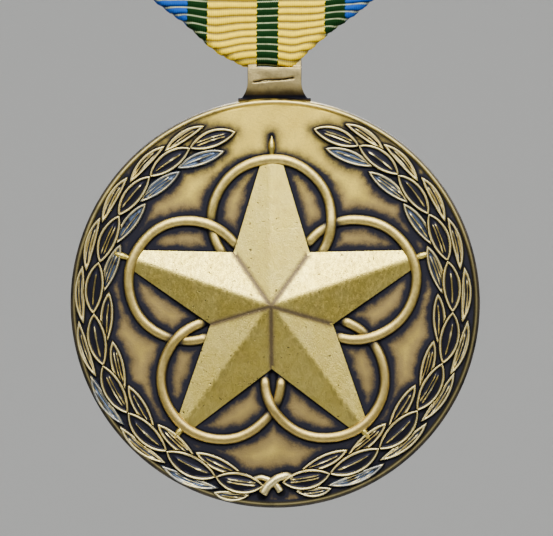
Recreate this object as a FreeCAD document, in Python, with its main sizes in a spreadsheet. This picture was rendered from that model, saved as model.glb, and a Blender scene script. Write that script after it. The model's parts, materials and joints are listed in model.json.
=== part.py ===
import FreeCAD, Part
import math
import os
import Sketcher
from FreeCAD import Placement, Rotation, Vector

# A full-size service medal, in millimetres. +Z is up and the struck face looks along -Y.
# The origin is the middle of the raised pad on the back of the brooch plate, the face that
# rests on the coat. The ribbon hangs in one upright plane, and so do the loop and the disc.

doc = FreeCAD.newDocument("ServiceMedal")
sheet = doc.addObject("Spreadsheet::Sheet", "Sizes")

sizes = {
    "ribbonWidth": 34.93,
    "ribbonThick": 0.45,
    "ribbonDrop": 34.93,      # from the top fold to the crease at the loop
    "creaseHalf": 1.45,       # half width of the ribbon at the crease
    "tongueHalf": 1.40,
    "vSlope": 0.70,           # rise of the V's edge for each millimetre outwards
    "tuckedHalf": 0.80,       # half thickness where the corners are tucked in
    "tuckTop": 16.5,
    "tuckFull": 12.5,
    "plateWidth": 33.6,
    "plateHeight": 9.8,
    "plateThick": 0.7,
    "plateTop": 7.6,
    "plateCorner": 1.2,
    "padWidth": 27.0,
    "padHeight": 2.8,
    "padRise": 0.2,
    "flexDrop": 0.7,          # from the plate's lower edge to the line where the ribbon bends
    "flexGap": 0.12,
    "clampWidth": 30.0,
    "clampThick": 0.35,
    "clampFoot": 4.8,
    "clampTop": 6.9,
    "discRadius": 17.46,
    "fieldThick": 1.9,
    "rimRise": 0.28,
    "rimWidth": 0.36,
    "rimSlope": 0.12,
    "discBehind": 0.17,       # sets the disc back so that its weight hangs under the bar
    "patternX": -0.30,        # the dies met slightly off the middle of the blank
    "patternZ": -0.11,
    "starTip": 14.27,
    "starNotch": 5.50,
    "starApexRise": 1.70,
    "starNotchRise": 0.45,
    "starTipRise": 0.15,
    "ringCentre": 7.51,
    "ringRadius": 5.11,
    "ringHalfWidth": 0.435,
    "wreathRadius": 15.33,
    "leafHalf": 0.82,
    "leafRise": 0.38,
    "sideLeafRise": 0.26,
    "stemRadius": 0.36,
    "barAbove": 21.25,        # the loop's bar above the disc's centre
    "barRadius": 0.5,
    "barGap": 0.06,
    "loopHalf": 2.3,
    "loopSlotHalf": 1.5,
    "loopSlotFloor": 20.10,
    "loopThick": 1.5,
    "loopFootHalf": 3.1,
    "loopFootTop": 17.5,
    "loopFlareHalf": 2.8,
    "creaseAbove": 18.92,
    "creaseLength": 3.4,
    "creaseWidth": 0.12,
    "pinX": -13.0,
    "pinZ": 3.1,
    "pinOut": 2.0,            # the pin's axis behind the origin plane
    "pinRadius": 0.4,
    "hubRadius": 1.0,
    "hubHeight": 1.5,
    "rivetRadius": 0.40,
    "rivetGap": 0.02,
    "earThick": 0.5,
    "earRadius": 1.05,
    "mountThick": 0.25,       # soldered feet, proud of the origin plane
    "hingeFootLong": 3.2,
    "hingeFootHigh": 3.0,
    "catchFootLong": 2.5,
    "catchFootHigh": 2.4,
    "cheekNeck": 1.8,
    "mouthOpen": 1.2,
    "rotorLong": 2.4,
    "rotorSlot": 1.1,
    "leverLong": 0.8,
    "leverThick": 0.7,
    "leverAngle": 100,        # the thumb lever's turn from straight out of the back
    "pinPast": 1.2,           # the pin's shank ends this far past the catch's middle
    "pinPointLong": 2.4,
    "toolReach": 6.0,         # length of the cutting tools, more than anything they cut
    "catchX": 12.0,
    "cheekRadius": 1.5,
    "cheekThick": 0.6,
    "journalRadius": 1.0,
    "journalGap": 0.03,
    "rotorBore": 0.55,
    "collarRadius": 1.35,
    "collarWidth": 0.88,
    "leverReach": 2.4,
    "threadRadius": 0.12,
    "stitchLength": 1.8,
}
for row, (alias, value) in enumerate(sizes.items(), start=1):
    sheet.set("A%d" % row, alias)
    sheet.set("B%d" % row, str(value))
    sheet.setAlias("B%d" % row, alias)
doc.recompute()


def size(alias):
    return float(sheet.get(alias))


# Heights and planes worked out from the sheet, used by the shapes that no primitive gives.
halfRibbon = size("ribbonWidth") / 2
cloth = size("ribbonThick")
backOfPlate = -size("padRise")
frontOfPlate = backOfPlate - size("plateThick")
hangY = frontOfPlate - cloth
plateBottom = size("plateTop") - size("plateHeight")
flexZ = plateBottom - size("flexDrop")
headBottom = flexZ + cloth + size("flexGap")
ribbonTop = size("plateTop") + cloth
creaseZ = ribbonTop - size("ribbonDrop")
wrapRadius = size("barRadius") + size("barGap") + cloth
barZ = creaseZ + wrapRadius
discZ = barZ - size("barAbove")
discY = hangY + size("discBehind")
fieldFrontY = discY - size("fieldThick") / 2
patternX = size("patternX")
patternZ = discZ + size("patternZ")
pinY = size("pinOut")
pinZ = size("pinZ")
alongX = Rotation(Vector(0, 1, 0), 90)
alongY = Rotation(Vector(1, 0, 0), 90)


def bind(item, rules):
    for prop, rule in rules.items():
        item.setExpression(prop, rule)
    return item


def originPlane(body, role):
    return next(plane for plane in body.Origin.OriginFeatures if plane.Role == role)


def newSketch(body, name, role, shift):
    # shift is in the plane's own directions: right, up and out along its normal
    sketch = body.newObject("Sketcher::SketchObject", name)
    sketch.AttachmentSupport = [(originPlane(body, role), "")]
    sketch.MapMode = "FlatFace"
    sketch.AttachmentOffset = Placement(Vector(*shift), Rotation())
    return sketch


def drawCentredRectangle(sketch, widthRule, heightRule):
    corners = [Vector(-1, -1), Vector(1, -1), Vector(1, 1), Vector(-1, 1)]
    for start, end in zip(corners, corners[1:] + corners[:1]):
        sketch.addGeometry(Part.LineSegment(start, end))
    for line in range(4):
        sketch.addConstraint(Sketcher.Constraint("Coincident", line, 2, (line + 1) % 4, 1))
        direction = "Vertical" if line % 2 else "Horizontal"
        sketch.addConstraint(Sketcher.Constraint(direction, line))
    sketch.addConstraint(Sketcher.Constraint("Symmetric", 0, 1, 1, 2, -1, 1))
    width = sketch.addConstraint(Sketcher.Constraint("DistanceX", 0, 1, 0, 2, 2.0))
    height = sketch.addConstraint(Sketcher.Constraint("DistanceY", 1, 1, 1, 2, 2.0))
    bind(sketch, {"Constraints[%d]" % width: widthRule, "Constraints[%d]" % height: heightRule})


def drawOutline(sketch, steps):
    # each step is a point, or a pair (point on the arc, arc's end)
    here = steps[0]
    for step in steps[1:] + steps[:1]:
        if isinstance(step, tuple):
            middle, end = step
            sketch.addGeometry(Part.ArcOfCircle(here, middle, end))
            here = end
        else:
            if (step - here).Length > 1e-6:
                sketch.addGeometry(Part.LineSegment(here, step))
            here = step


def extrude(body, sketch, lengthRule, midplane=False):
    pad = body.newObject("PartDesign::Pad", sketch.Name + "Pad")
    pad.Profile = sketch
    pad.Midplane = midplane
    bind(pad, {"Length": lengthRule})
    body.Tip = pad
    return pad


def box(name, corner, rules):
    item = doc.addObject("Part::Box", name)
    item.Placement = Placement(Vector(*corner), Rotation())
    return bind(item, rules)


def cylinder(name, base, turn, rules):
    item = doc.addObject("Part::Cylinder", name)
    item.Placement = Placement(Vector(*base), turn)
    return bind(item, rules)


def fuse(name, items):
    item = doc.addObject("Part::MultiFuse", name)
    item.Shapes = items
    return item


def cut(name, base, tool):
    item = doc.addObject("Part::Cut", name)
    item.Base = base
    item.Tool = tool
    return item


def broochPlate():
    body = doc.addObject("PartDesign::Body", "broochPlate")
    middle = size("plateTop") - size("plateHeight") / 2
    outline = newSketch(body, "plateOutline", "XZ_Plane", (0, middle, -backOfPlate))
    drawCentredRectangle(outline, "Sizes.plateWidth", "Sizes.plateHeight")
    plate = extrude(body, outline, "Sizes.plateThick")
    doc.recompute()
    corners = [
        "Edge%d" % number
        for number, edge in enumerate(plate.Shape.Edges, start=1)
        if abs(edge.tangentAt(edge.FirstParameter).y) > 0.99
    ]
    rounded = body.newObject("PartDesign::Fillet", "plateCorners")
    rounded.Base = (plate, corners)
    bind(rounded, {"Radius": "Sizes.plateCorner"})
    body.Tip = rounded
    padOutline = newSketch(body, "padOutline", "XZ_Plane", (0, 0, 0))
    drawCentredRectangle(padOutline, "Sizes.padWidth", "Sizes.padHeight")
    extrude(body, padOutline, "Sizes.padRise + 0.1")
    return body


def tailClamp():
    # an angle strip: its foot is soldered to the plate, its leg presses on the ribbon's end
    body = doc.addObject("PartDesign::Body", "tailClamp")
    section = newSketch(body, "clampSection", "YZ_Plane", (0, 0, 0))
    inner = backOfPlate + cloth
    outer = inner + size("clampThick")
    foot = size("clampFoot")
    drawOutline(section, [
        Vector(backOfPlate, foot),
        Vector(outer, foot),
        Vector(outer, size("clampTop")),
        Vector(inner, size("clampTop")),
        Vector(inner, foot + size("clampThick")),
        Vector(backOfPlate, foot + size("clampThick")),
    ])
    extrude(body, section, "Sizes.clampWidth", midplane=True)
    return body


def ribbonHead():
    # two layers in front of the plate, one of them over its top and down to the clamp
    body = doc.addObject("PartDesign::Body", "ribbonHead")
    section = newSketch(body, "headSection", "YZ_Plane", (0, 0, 0))
    front = hangY - cloth
    back = backOfPlate + cloth
    tailEnd = size("clampFoot") + size("clampThick") + 0.05
    round45 = cloth * math.sin(math.radians(45))
    drawOutline(section, [
        Vector(front, headBottom),
        Vector(front, ribbonTop - cloth),
        (Vector(front + cloth - round45, ribbonTop - cloth + round45), Vector(front + cloth, ribbonTop)),
        Vector(back - cloth, ribbonTop),
        (Vector(back - cloth + round45, ribbonTop - cloth + round45), Vector(back, ribbonTop - cloth)),
        Vector(back, tailEnd),
        Vector(backOfPlate, tailEnd),
        Vector(backOfPlate, size("plateTop")),
        Vector(frontOfPlate, size("plateTop")),
        Vector(frontOfPlate, headBottom),
    ])
    extrude(body, section, "Sizes.ribbonWidth", midplane=True)
    return body


def ribbonDrape():
    # side view: a double slab, round at the bend, thicker where the corners are tucked in
    # between the layers, and spread round the bar at its lower end
    side = doc.addObject("PartDesign::Body", "drapeSide")
    section = newSketch(side, "drapeSection", "YZ_Plane", (0, 0, 0))
    tucked = size("tuckedHalf")
    tuckTop = creaseZ + size("tuckTop")
    tuckFull = creaseZ + size("tuckFull")
    spreadTop = barZ + 2.6
    drawOutline(section, [
        Vector(hangY - cloth, flexZ),
        Vector(hangY - cloth, tuckTop),
        Vector(hangY - tucked, tuckFull),
        Vector(hangY - tucked, spreadTop),
        Vector(hangY - wrapRadius, barZ),
        (Vector(hangY, creaseZ), Vector(hangY + wrapRadius, barZ)),
        Vector(hangY + tucked, spreadTop),
        Vector(hangY + tucked, tuckFull),
        Vector(hangY + cloth, tuckTop),
        Vector(hangY + cloth, flexZ),
        (Vector(hangY, flexZ + cloth), Vector(hangY - cloth, flexZ)),
    ])
    extrude(side, section, "Sizes.ribbonWidth", midplane=True)

    # front view: the V of the folded edges, then a tongue through the loop's slot
    front = doc.addObject("PartDesign::Body", "drapeFront")
    outline = newSketch(front, "drapeOutline", "XZ_Plane", (0, 0, 4))
    slope = size("vSlope")
    shelfZ = barZ + 0.95
    shelfHalf = size("creaseHalf") + (shelfZ - creaseZ) / slope
    vTop = creaseZ + (halfRibbon - size("creaseHalf")) * slope
    rightSide = [
        Vector(size("tongueHalf"), creaseZ - 1),
        Vector(size("tongueHalf"), shelfZ),
        Vector(shelfHalf, shelfZ),
        Vector(halfRibbon, vTop),
        Vector(halfRibbon, flexZ + 1),
    ]
    leftSide = [Vector(-point.x, point.y) for point in reversed(rightSide)]
    drawOutline(outline, rightSide + leftSide)
    extrude(front, outline, "8", midplane=True)

    slab = doc.addObject("Part::Common", "drapeSlab")
    slab.Base = side
    slab.Tool = front
    barHole = cylinder("barHole", (-5, hangY, barZ), alongX, {
        "Radius": "Sizes.barRadius + Sizes.barGap",
        "Height": "10",
    })
    return cut("ribbonDrape", slab, barHole)


def thread(name, x, y, z, angle):
    # one straight stitch lying in the cloth's plane, turned by angle from level
    direction = Vector(math.cos(math.radians(angle)), 0, math.sin(math.radians(angle)))
    start = Vector(x, y, z) - direction * (size("stitchLength") / 2)
    return cylinder(name, start, Rotation(Vector(0, 0, 1), direction), {
        "Radius": "Sizes.threadRadius",
        "Height": "Sizes.stitchLength",
    })


def seamStitches():
    # a running seam through both layers just below the plate, seen on the back
    seamZ = flexZ - 1.3
    seamY = hangY + cloth + size("threadRadius")
    count = 12
    pitch = 2.75
    threads = [
        thread("seam%d" % number, (number - (count - 1) / 2) * pitch, seamY, seamZ, 0)
        for number in range(count)
    ]
    row = doc.addObject("Part::Compound", "seamStitches")
    row.Links = threads
    return row


def cornerStitch(side):
    # a cross of thread that tacks one tucked corner
    crossY = hangY + size("tuckedHalf") + size("threadRadius")
    name = "cornerRight" if side > 0 else "cornerLeft"
    strands = [thread("%s%d" % (name, angle), side * 9.0, crossY, creaseZ + 9.5, angle) for angle in (40, 130)]
    return fuse(name, strands)


def hingeBracket():
    foot = box("hingeFoot", (size("pinX") - size("hingeFootLong") / 2, backOfPlate, pinZ - size("hingeFootHigh") / 2), {
        "Length": "Sizes.hingeFootLong",
        "Width": "Sizes.padRise + Sizes.mountThick",
        "Height": "Sizes.hingeFootHigh",
    })
    solids = [foot]
    for side in (-1, 1):
        name = "earUpper" if side > 0 else "earLower"
        earZ = pinZ + side * (size("hubHeight") / 2 + 0.05 + size("earThick") / 2) - size("earThick") / 2
        web = box(name + "Web", (size("pinX") - size("earRadius"), 0, earZ), {
            "Length": "2 * Sizes.earRadius",
            "Width": "Sizes.pinOut",
            "Height": "Sizes.earThick",
        })
        eye = cylinder(name + "Eye", (size("pinX"), pinY, earZ), Rotation(), {
            "Radius": "Sizes.earRadius",
            "Height": "Sizes.earThick",
        })
        solids += [web, eye]
    hole = cylinder("earHole", (size("pinX"), pinY, pinZ - size("toolReach") / 2), Rotation(), {
        "Radius": "Sizes.rivetRadius",
        "Height": "Sizes.toolReach",
    })
    return cut("hingeBracket", fuse("hingeSolid", solids), hole)


def hingeRivet():
    reach = size("hubHeight") / 2 + 0.05 + size("earThick")
    shank = cylinder("rivetShank", (size("pinX"), pinY, pinZ - reach), Rotation(), {
        "Radius": "Sizes.rivetRadius",
        "Height": "Sizes.hubHeight + 0.1 + 2 * Sizes.earThick",
    })
    heads = []
    for side in (-1, 1):
        head = doc.addObject("Part::Cone", "rivetHeadUpper" if side > 0 else "rivetHeadLower")
        turn = Rotation() if side > 0 else Rotation(Vector(1, 0, 0), 180)
        head.Placement = Placement(Vector(size("pinX"), pinY, pinZ + side * reach), turn)
        bind(head, {
            "Radius1": "Sizes.rivetRadius + 0.3",
            "Radius2": "Sizes.rivetRadius + 0.05",
            "Height": "0.3",
        })
        heads.append(head)
    return fuse("hingeRivet", [shank] + heads)


def pinStem():
    hub = cylinder("pinHub", (size("pinX"), pinY, pinZ - size("hubHeight") / 2), Rotation(), {
        "Radius": "Sizes.hubRadius",
        "Height": "Sizes.hubHeight",
    })
    stemEnd = size("catchX") + size("pinPast")
    stem = cylinder("pinShank", (size("pinX") + 0.7, pinY, pinZ), alongX, {
        "Radius": "Sizes.pinRadius",
        "Height": "Sizes.catchX + Sizes.pinPast - Sizes.pinX - 0.7",
    })
    point = doc.addObject("Part::Cone", "pinPoint")
    point.Placement = Placement(Vector(stemEnd, pinY, pinZ), alongX)
    bind(point, {"Radius1": "Sizes.pinRadius", "Radius2": "0.03", "Height": "Sizes.pinPointLong"})
    hole = cylinder("pinEye", (size("pinX"), pinY, pinZ - size("toolReach") / 2), Rotation(), {
        "Radius": "Sizes.rivetRadius + Sizes.rivetGap",
        "Height": "Sizes.toolReach",
    })
    return cut("pinStem", fuse("pinSolid", [hub, stem, point]), hole)


def catchBase():
    solids = [box("catchFoot", (size("catchX") - size("catchFootLong") / 2, backOfPlate, pinZ - size("catchFootHigh") / 2), {
        "Length": "Sizes.catchFootLong",
        "Width": "Sizes.padRise + Sizes.mountThick",
        "Height": "Sizes.catchFootHigh",
    })]
    for side in (-1, 1):
        name = "cheekOuter" if side > 0 else "cheekInner"
        cheekX = size("catchX") + side * (size("collarWidth") / 2 + 0.06)
        cheekX -= size("cheekThick") if side < 0 else 0
        solids.append(cylinder(name, (cheekX, pinY, pinZ), alongX, {
            "Radius": "Sizes.cheekRadius",
            "Height": "Sizes.cheekThick",
        }))
        solids.append(box(name + "Neck", (cheekX, 0, pinZ - size("cheekNeck") / 2), {
            "Length": "Sizes.cheekThick",
            "Width": "Sizes.pinOut",
            "Height": "Sizes.cheekNeck",
        }))
    bore = cylinder("cheekBore", (size("catchX") - size("toolReach") / 2, pinY, pinZ), alongX, {
        "Radius": "Sizes.journalRadius + Sizes.journalGap",
        "Height": "Sizes.toolReach",
    })
    mouth = box("cheekMouth", (size("catchX") - size("toolReach") / 2, pinY, pinZ - size("mouthOpen") / 2), {
        "Length": "Sizes.toolReach",
        "Width": "Sizes.toolReach / 2",
        "Height": "Sizes.mouthOpen",
    })
    return cut("catchBase", fuse("catchSolid", solids), fuse("catchOpening", [bore, mouth]))


def catchRotor():
    # a slotted sleeve: the slot faces out to let the pin in, and turns down to keep it in
    sleeve = cylinder("rotorSleeve", (size("catchX") - size("rotorLong") / 2, pinY, pinZ), alongX, {
        "Radius": "Sizes.journalRadius",
        "Height": "Sizes.rotorLong",
    })
    collar = cylinder("rotorCollar", (size("catchX") - size("collarWidth") / 2, pinY, pinZ), alongX, {
        "Radius": "Sizes.collarRadius",
        "Height": "Sizes.collarWidth",
    })
    lever = doc.addObject("Part::Box", "rotorLever")
    turn = Rotation(Vector(1, 0, 0), size("leverAngle"))
    corner = turn.multVec(Vector(-size("leverLong") / 2, 0.9, -size("leverThick") / 2))
    lever.Placement = Placement(Vector(size("catchX"), pinY, pinZ) + corner, turn)
    bind(lever, {"Length": "Sizes.leverLong", "Width": "Sizes.leverReach - 0.9", "Height": "Sizes.leverThick"})
    bore = cylinder("rotorBoreTool", (size("catchX") - size("toolReach") / 2, pinY, pinZ), alongX, {
        "Radius": "Sizes.rotorBore",
        "Height": "Sizes.toolReach",
    })
    mouth = box("rotorMouth", (size("catchX") - size("toolReach") / 2, pinY, pinZ - size("rotorSlot") / 2), {
        "Length": "Sizes.toolReach",
        "Width": "Sizes.toolReach / 2",
        "Height": "Sizes.rotorSlot",
    })
    opening = fuse("rotorOpening", [bore, mouth])
    return cut("catchRotor", fuse("rotorSolid", [sleeve, collar, lever]), opening)


def suspensionLoop():
    # a tab whose foot fits the disc's edge, two rails, and a round bar across their tops
    body = doc.addObject("PartDesign::Body", "loopTab")
    outline = newSketch(body, "tabOutline", "XZ_Plane", (0, discZ, -hangY))
    radius = size("discRadius")
    footHalf = size("loopFootHalf")
    footLow = math.sqrt(radius ** 2 - footHalf ** 2)
    footTopZ = size("loopFootTop")
    flare = size("loopFlareHalf")
    half = size("loopHalf")
    neckZ = size("creaseAbove")
    floor = size("loopSlotFloor")
    drawOutline(outline, [
        Vector(-footHalf, footLow),
        (Vector(0, radius), Vector(footHalf, footLow)),
        Vector(footHalf, footTopZ),
        Vector(flare, footTopZ),
        (Vector(half + 0.13, footTopZ + 0.62), Vector(half, neckZ)),
        Vector(half, floor),
        Vector(-half, floor),
        Vector(-half, neckZ),
        (Vector(-half - 0.13, footTopZ + 0.62), Vector(-flare, footTopZ)),
        Vector(-footHalf, footTopZ),
    ])
    extrude(body, outline, "Sizes.loopThick", midplane=True)
    solids = [body]
    for side in (-1, 1):
        name = "railRight" if side > 0 else "railLeft"
        inner = size("loopSlotHalf") if side > 0 else -half
        solids.append(box(name, (inner, hangY - size("barRadius"), discZ + floor - 0.3), {
            "Length": "Sizes.loopHalf - Sizes.loopSlotHalf",
            "Width": "2 * Sizes.barRadius",
            "Height": "Sizes.barAbove - Sizes.loopSlotFloor + 0.3",
        }))
    solids.append(cylinder("loopBar", (-half, hangY, barZ), alongX, {
        "Radius": "Sizes.barRadius",
        "Height": "2 * Sizes.loopHalf",
    }))
    crease = box("tabCrease", (0, 0, 0), {
        "Length": "Sizes.creaseLength",
        "Width": "0.3",
        "Height": "Sizes.creaseWidth",
    })
    turn = Rotation(Vector(0, -1, 0), 5.5)
    corner = turn.multVec(Vector(-size("creaseLength") / 2, 0, 0))
    creaseY = hangY - size("loopThick") / 2 - 0.18
    crease.Placement = Placement(Vector(0, creaseY, discZ + neckZ) + corner, turn)
    return cut("suspensionLoop", fuse("loopSolid", solids), crease)


def discBlank():
    # one turned section: the same raised rim round both faces
    body = doc.addObject("PartDesign::Body", "discBlank")
    section = newSketch(body, "discSection", "YZ_Plane", (discY, discZ, 0))
    radius = size("discRadius")
    field = size("fieldThick") / 2
    rim = field + size("rimRise")
    rimInner = radius - size("rimWidth")
    rimFoot = rimInner - size("rimSlope")
    edgeEase = 0.08
    drawOutline(section, [
        Vector(-field, 0),
        Vector(-field, rimFoot),
        Vector(-rim, rimInner),
        Vector(-rim, radius - edgeEase),
        Vector(-rim + edgeEase, radius),
        Vector(rim - edgeEase, radius),
        Vector(rim, radius - edgeEase),
        Vector(rim, rimInner),
        Vector(field, rimFoot),
        Vector(field, 0),
    ])
    turned = body.newObject("PartDesign::Revolution", "discTurned")
    turned.Profile = section
    turned.ReferenceAxis = (section, ["H_Axis"])
    turned.Angle = 360
    body.Tip = turned
    return body


def onPattern(across, up, rise):
    # a point of the struck design, rise counted outwards from the field
    return Vector(patternX + across, fieldFrontY - rise, patternZ + up)


def onBearing(bearing, radius, rise=0.0):
    angle = math.radians(bearing)
    return onPattern(radius * math.sin(angle), radius * math.cos(angle), rise)


def starRelief():
    # five arms, each with two facets that meet in a ridge, on upright side walls
    sunk = -0.3
    apex = onPattern(0, 0, size("starApexRise"))
    rimTop = []
    rimLow = []
    for corner in range(10):
        isTip = corner % 2 == 0
        reach = size("starTip") if isTip else size("starNotch")
        rise = size("starTipRise") if isTip else size("starNotchRise")
        rimTop.append(onBearing(36 * corner, reach, rise))
        rimLow.append(onBearing(36 * corner, reach, sunk))
    faces = [Part.Face(Part.makePolygon(rimLow + rimLow[:1]))]
    for corner in range(10):
        after = (corner + 1) % 10
        facet = [apex, rimTop[corner], rimTop[after], apex]
        wall = [rimLow[corner], rimLow[after], rimTop[after], rimTop[corner], rimLow[corner]]
        faces.append(Part.Face(Part.makePolygon(facet)))
        faces.append(Part.Face(Part.makePolygon(wall)))
    star = doc.addObject("Part::Feature", "starRelief")
    star.Shape = Part.Solid(Part.Shell(faces))
    return star


def ringRelief():
    rings = []
    for arm in range(5):
        ring = doc.addObject("Part::Torus", "annulet%d" % arm)
        ring.Placement = Placement(onBearing(72 * arm, size("ringCentre")), alongY)
        rings.append(bind(ring, {
            "Radius1": "Sizes.ringRadius",
            "Radius2": "Sizes.ringHalfWidth",
        }))
    return rings


def leafPad(tip, base, half, rise):
    # a pointed leaf between two circular arcs
    along = (base - tip).normalize()
    across = along.cross(Vector(0, 1, 0)) * half
    middle = (tip + base) / 2
    edges = [Part.Arc(tip, middle + across, base).toShape(), Part.Arc(base, middle - across, tip).toShape()]
    outline = Part.Face(Part.Wire(edges))
    outline.translate(Vector(0, 0.2, 0))
    return outline.extrude(Vector(0, -rise - 0.2, 0))


def centreTip(leaf):
    # bearing of each centre leaf's tip: the leaves grow a little towards the stem
    return 13 + 15.4 * leaf + 0.13 * leaf ** 2


def wreathRelief():
    # two branches, each a chain of centre leaves with a leaf tucked under on either side
    radius = size("wreathRadius")
    half = size("leafHalf")
    solids = []
    for side in (-1, 1):
        for leaf in range(10):
            tip = centreTip(leaf)
            base = centreTip(leaf + 1) + 0.8
            solids.append(leafPad(
                onBearing(side * tip, radius), onBearing(side * base, radius), half, size("leafRise")))
            outer = tip + 8 * 0.62 ** leaf
            solids.append(leafPad(
                onBearing(side * outer, radius + 1.22), onBearing(side * (outer + 15), radius + 0.35),
                0.62, size("sideLeafRise")))
            if leaf < 9:
                inner = tip + 5.5 + 0.45 * leaf
                solids.append(leafPad(
                    onBearing(side * inner, radius - 1.2), onBearing(side * (inner + 15.5), radius - 0.5),
                    0.72, size("sideLeafRise")))
    wreath = doc.addObject("Part::Feature", "wreathRelief")
    wreath.Shape = solids[0].multiFuse(solids[1:])
    return wreath


def crossedStems():
    # the two cut stems cross at the bottom of the wreath
    stems = []
    for name, left, right in (("stemOver", (-1.0, -16.1), (1.35, -14.7)), ("stemUnder", (0.9, -16.0), (-1.3, -14.8))):
        start = onPattern(left[0], left[1], 0.05)
        end = onPattern(right[0], right[1], 0.05)
        stem = doc.addObject("Part::Cylinder", name)
        stem.Placement = Placement(start, Rotation(Vector(0, 0, 1), end - start))
        stem.Height = (end - start).Length
        stems.append(bind(stem, {"Radius": "Sizes.stemRadius"}))
    return stems


def medalDisc():
    pieces = [discBlank(), starRelief(), wreathRelief()] + ringRelief() + crossedStems()
    return fuse("medalDisc", pieces)


subParts = {
    "brooch_plate": broochPlate(),
    "tail_clamp": tailClamp(),
    "ribbon_head": ribbonHead(),
    "ribbon_drape": ribbonDrape(),
    "seam_stitches": seamStitches(),
    "corner_stitch_left": cornerStitch(-1),
    "corner_stitch_right": cornerStitch(1),
    "hinge_bracket": hingeBracket(),
    "hinge_rivet": hingeRivet(),
    "pin_stem": pinStem(),
    "catch_base": catchBase(),
    "catch_rotor": catchRotor(),
    "suspension_loop": suspensionLoop(),
    "medal_disc": medalDisc(),
}
for label, item in subParts.items():
    item.Label = label
doc.recompute()

for item in doc.Objects:
    if "Invalid" in item.State or "Error" in item.State:
        raise RuntimeError("%s did not rebuild: %s" % (item.Name, item.State))
os.makedirs("parts", exist_ok=True)
for label, item in subParts.items():
    shape = item.Shape
    if shape.isNull() or not shape.isValid() or shape.Volume <= 0:
        raise RuntimeError("%s has no sound shape" % label)
    shape.exportStep("parts/%s.step" % label)
    print("%-22s %2d solid(s) %9.3f mm3" % (label, len(shape.Solids), shape.Volume))
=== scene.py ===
import json
import math
import bpy
import bmesh
import numpy as np
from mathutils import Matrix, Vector


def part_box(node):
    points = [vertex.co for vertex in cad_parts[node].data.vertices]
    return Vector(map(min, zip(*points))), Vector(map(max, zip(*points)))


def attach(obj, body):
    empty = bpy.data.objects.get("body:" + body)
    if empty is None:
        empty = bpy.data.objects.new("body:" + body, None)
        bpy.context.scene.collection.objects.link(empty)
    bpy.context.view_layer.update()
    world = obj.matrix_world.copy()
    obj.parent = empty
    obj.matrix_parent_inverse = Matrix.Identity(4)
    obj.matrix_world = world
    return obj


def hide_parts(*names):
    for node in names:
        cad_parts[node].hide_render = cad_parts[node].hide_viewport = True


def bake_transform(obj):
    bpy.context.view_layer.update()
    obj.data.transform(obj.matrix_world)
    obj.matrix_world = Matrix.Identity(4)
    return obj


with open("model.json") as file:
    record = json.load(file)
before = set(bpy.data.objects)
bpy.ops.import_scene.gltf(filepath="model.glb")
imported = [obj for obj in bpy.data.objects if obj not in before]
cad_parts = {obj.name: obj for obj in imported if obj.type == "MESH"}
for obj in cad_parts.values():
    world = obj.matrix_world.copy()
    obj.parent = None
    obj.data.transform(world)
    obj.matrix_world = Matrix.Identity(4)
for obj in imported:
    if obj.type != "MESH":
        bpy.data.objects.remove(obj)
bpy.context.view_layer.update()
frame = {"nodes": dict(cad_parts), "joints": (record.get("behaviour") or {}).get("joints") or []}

mm = 0.001
jointPlace = {joint["name"]: Vector(joint["pos_m"]) / mm for joint in frame["joints"]}

# Everything below is drawn in millimetres in the frame of the CAD model and scaled once,
# in makeMesh. The struck face looks along -Y.

# ---- general mesh helpers


def smoothStep(low, high, value):
    share = np.clip((value - low) / (high - low), 0, 1)
    return share * share * (3 - 2 * share)


def bell(value, middle, width):
    return np.exp(-((value - middle) / width) ** 2)


def gridFaces(rows, columns, closeRows=False, closeColumns=False):
    i, j = np.meshgrid(
        np.arange(rows if closeRows else rows - 1),
        np.arange(columns if closeColumns else columns - 1), indexing="ij")
    down, right = (i + 1) % rows, (j + 1) % columns
    quads = [i * columns + j, i * columns + right, down * columns + right, down * columns + j]
    return np.stack(quads, -1).reshape(-1, 4).tolist()


def joinShells(shells):
    # several closed shells, each (points, faces, masks), as one set
    points, faces, masks = [], [], {}
    first = 0
    for shellPoints, shellFaces, shellMasks in shells:
        points.append(np.asarray(shellPoints, float))
        faces += [[corner + first for corner in face] for face in shellFaces]
        first += len(shellPoints)
        for name, values in shellMasks.items():
            masks.setdefault(name, []).append(np.broadcast_to(values, len(shellPoints)))
    return np.concatenate(points), faces, {name: np.concatenate(rows) for name, rows in masks.items()}


def makeMesh(name, shell, merge=0.0005, sharp=None):
    points, faces, masks = shell
    mesh = bpy.data.meshes.new(name)
    mesh.from_pydata((np.asarray(points) * mm).tolist(), [], faces)
    for mask, values in masks.items():
        layer = mesh.attributes.new(mask, "FLOAT", "POINT")
        layer.data.foreach_set("value", np.asarray(values, np.float32))
    work = bmesh.new()
    work.from_mesh(mesh)
    bmesh.ops.remove_doubles(work, verts=work.verts, dist=merge * mm)
    bmesh.ops.recalc_face_normals(work, faces=work.faces)
    work.to_mesh(mesh)
    work.free()
    mesh.polygons.foreach_set("use_smooth", [True] * len(mesh.polygons))
    if sharp:
        mesh.set_sharp_from_angle(angle=math.radians(sharp))
    item = bpy.data.objects.new(name, mesh)
    bpy.context.collection.objects.link(item)
    return item


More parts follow.
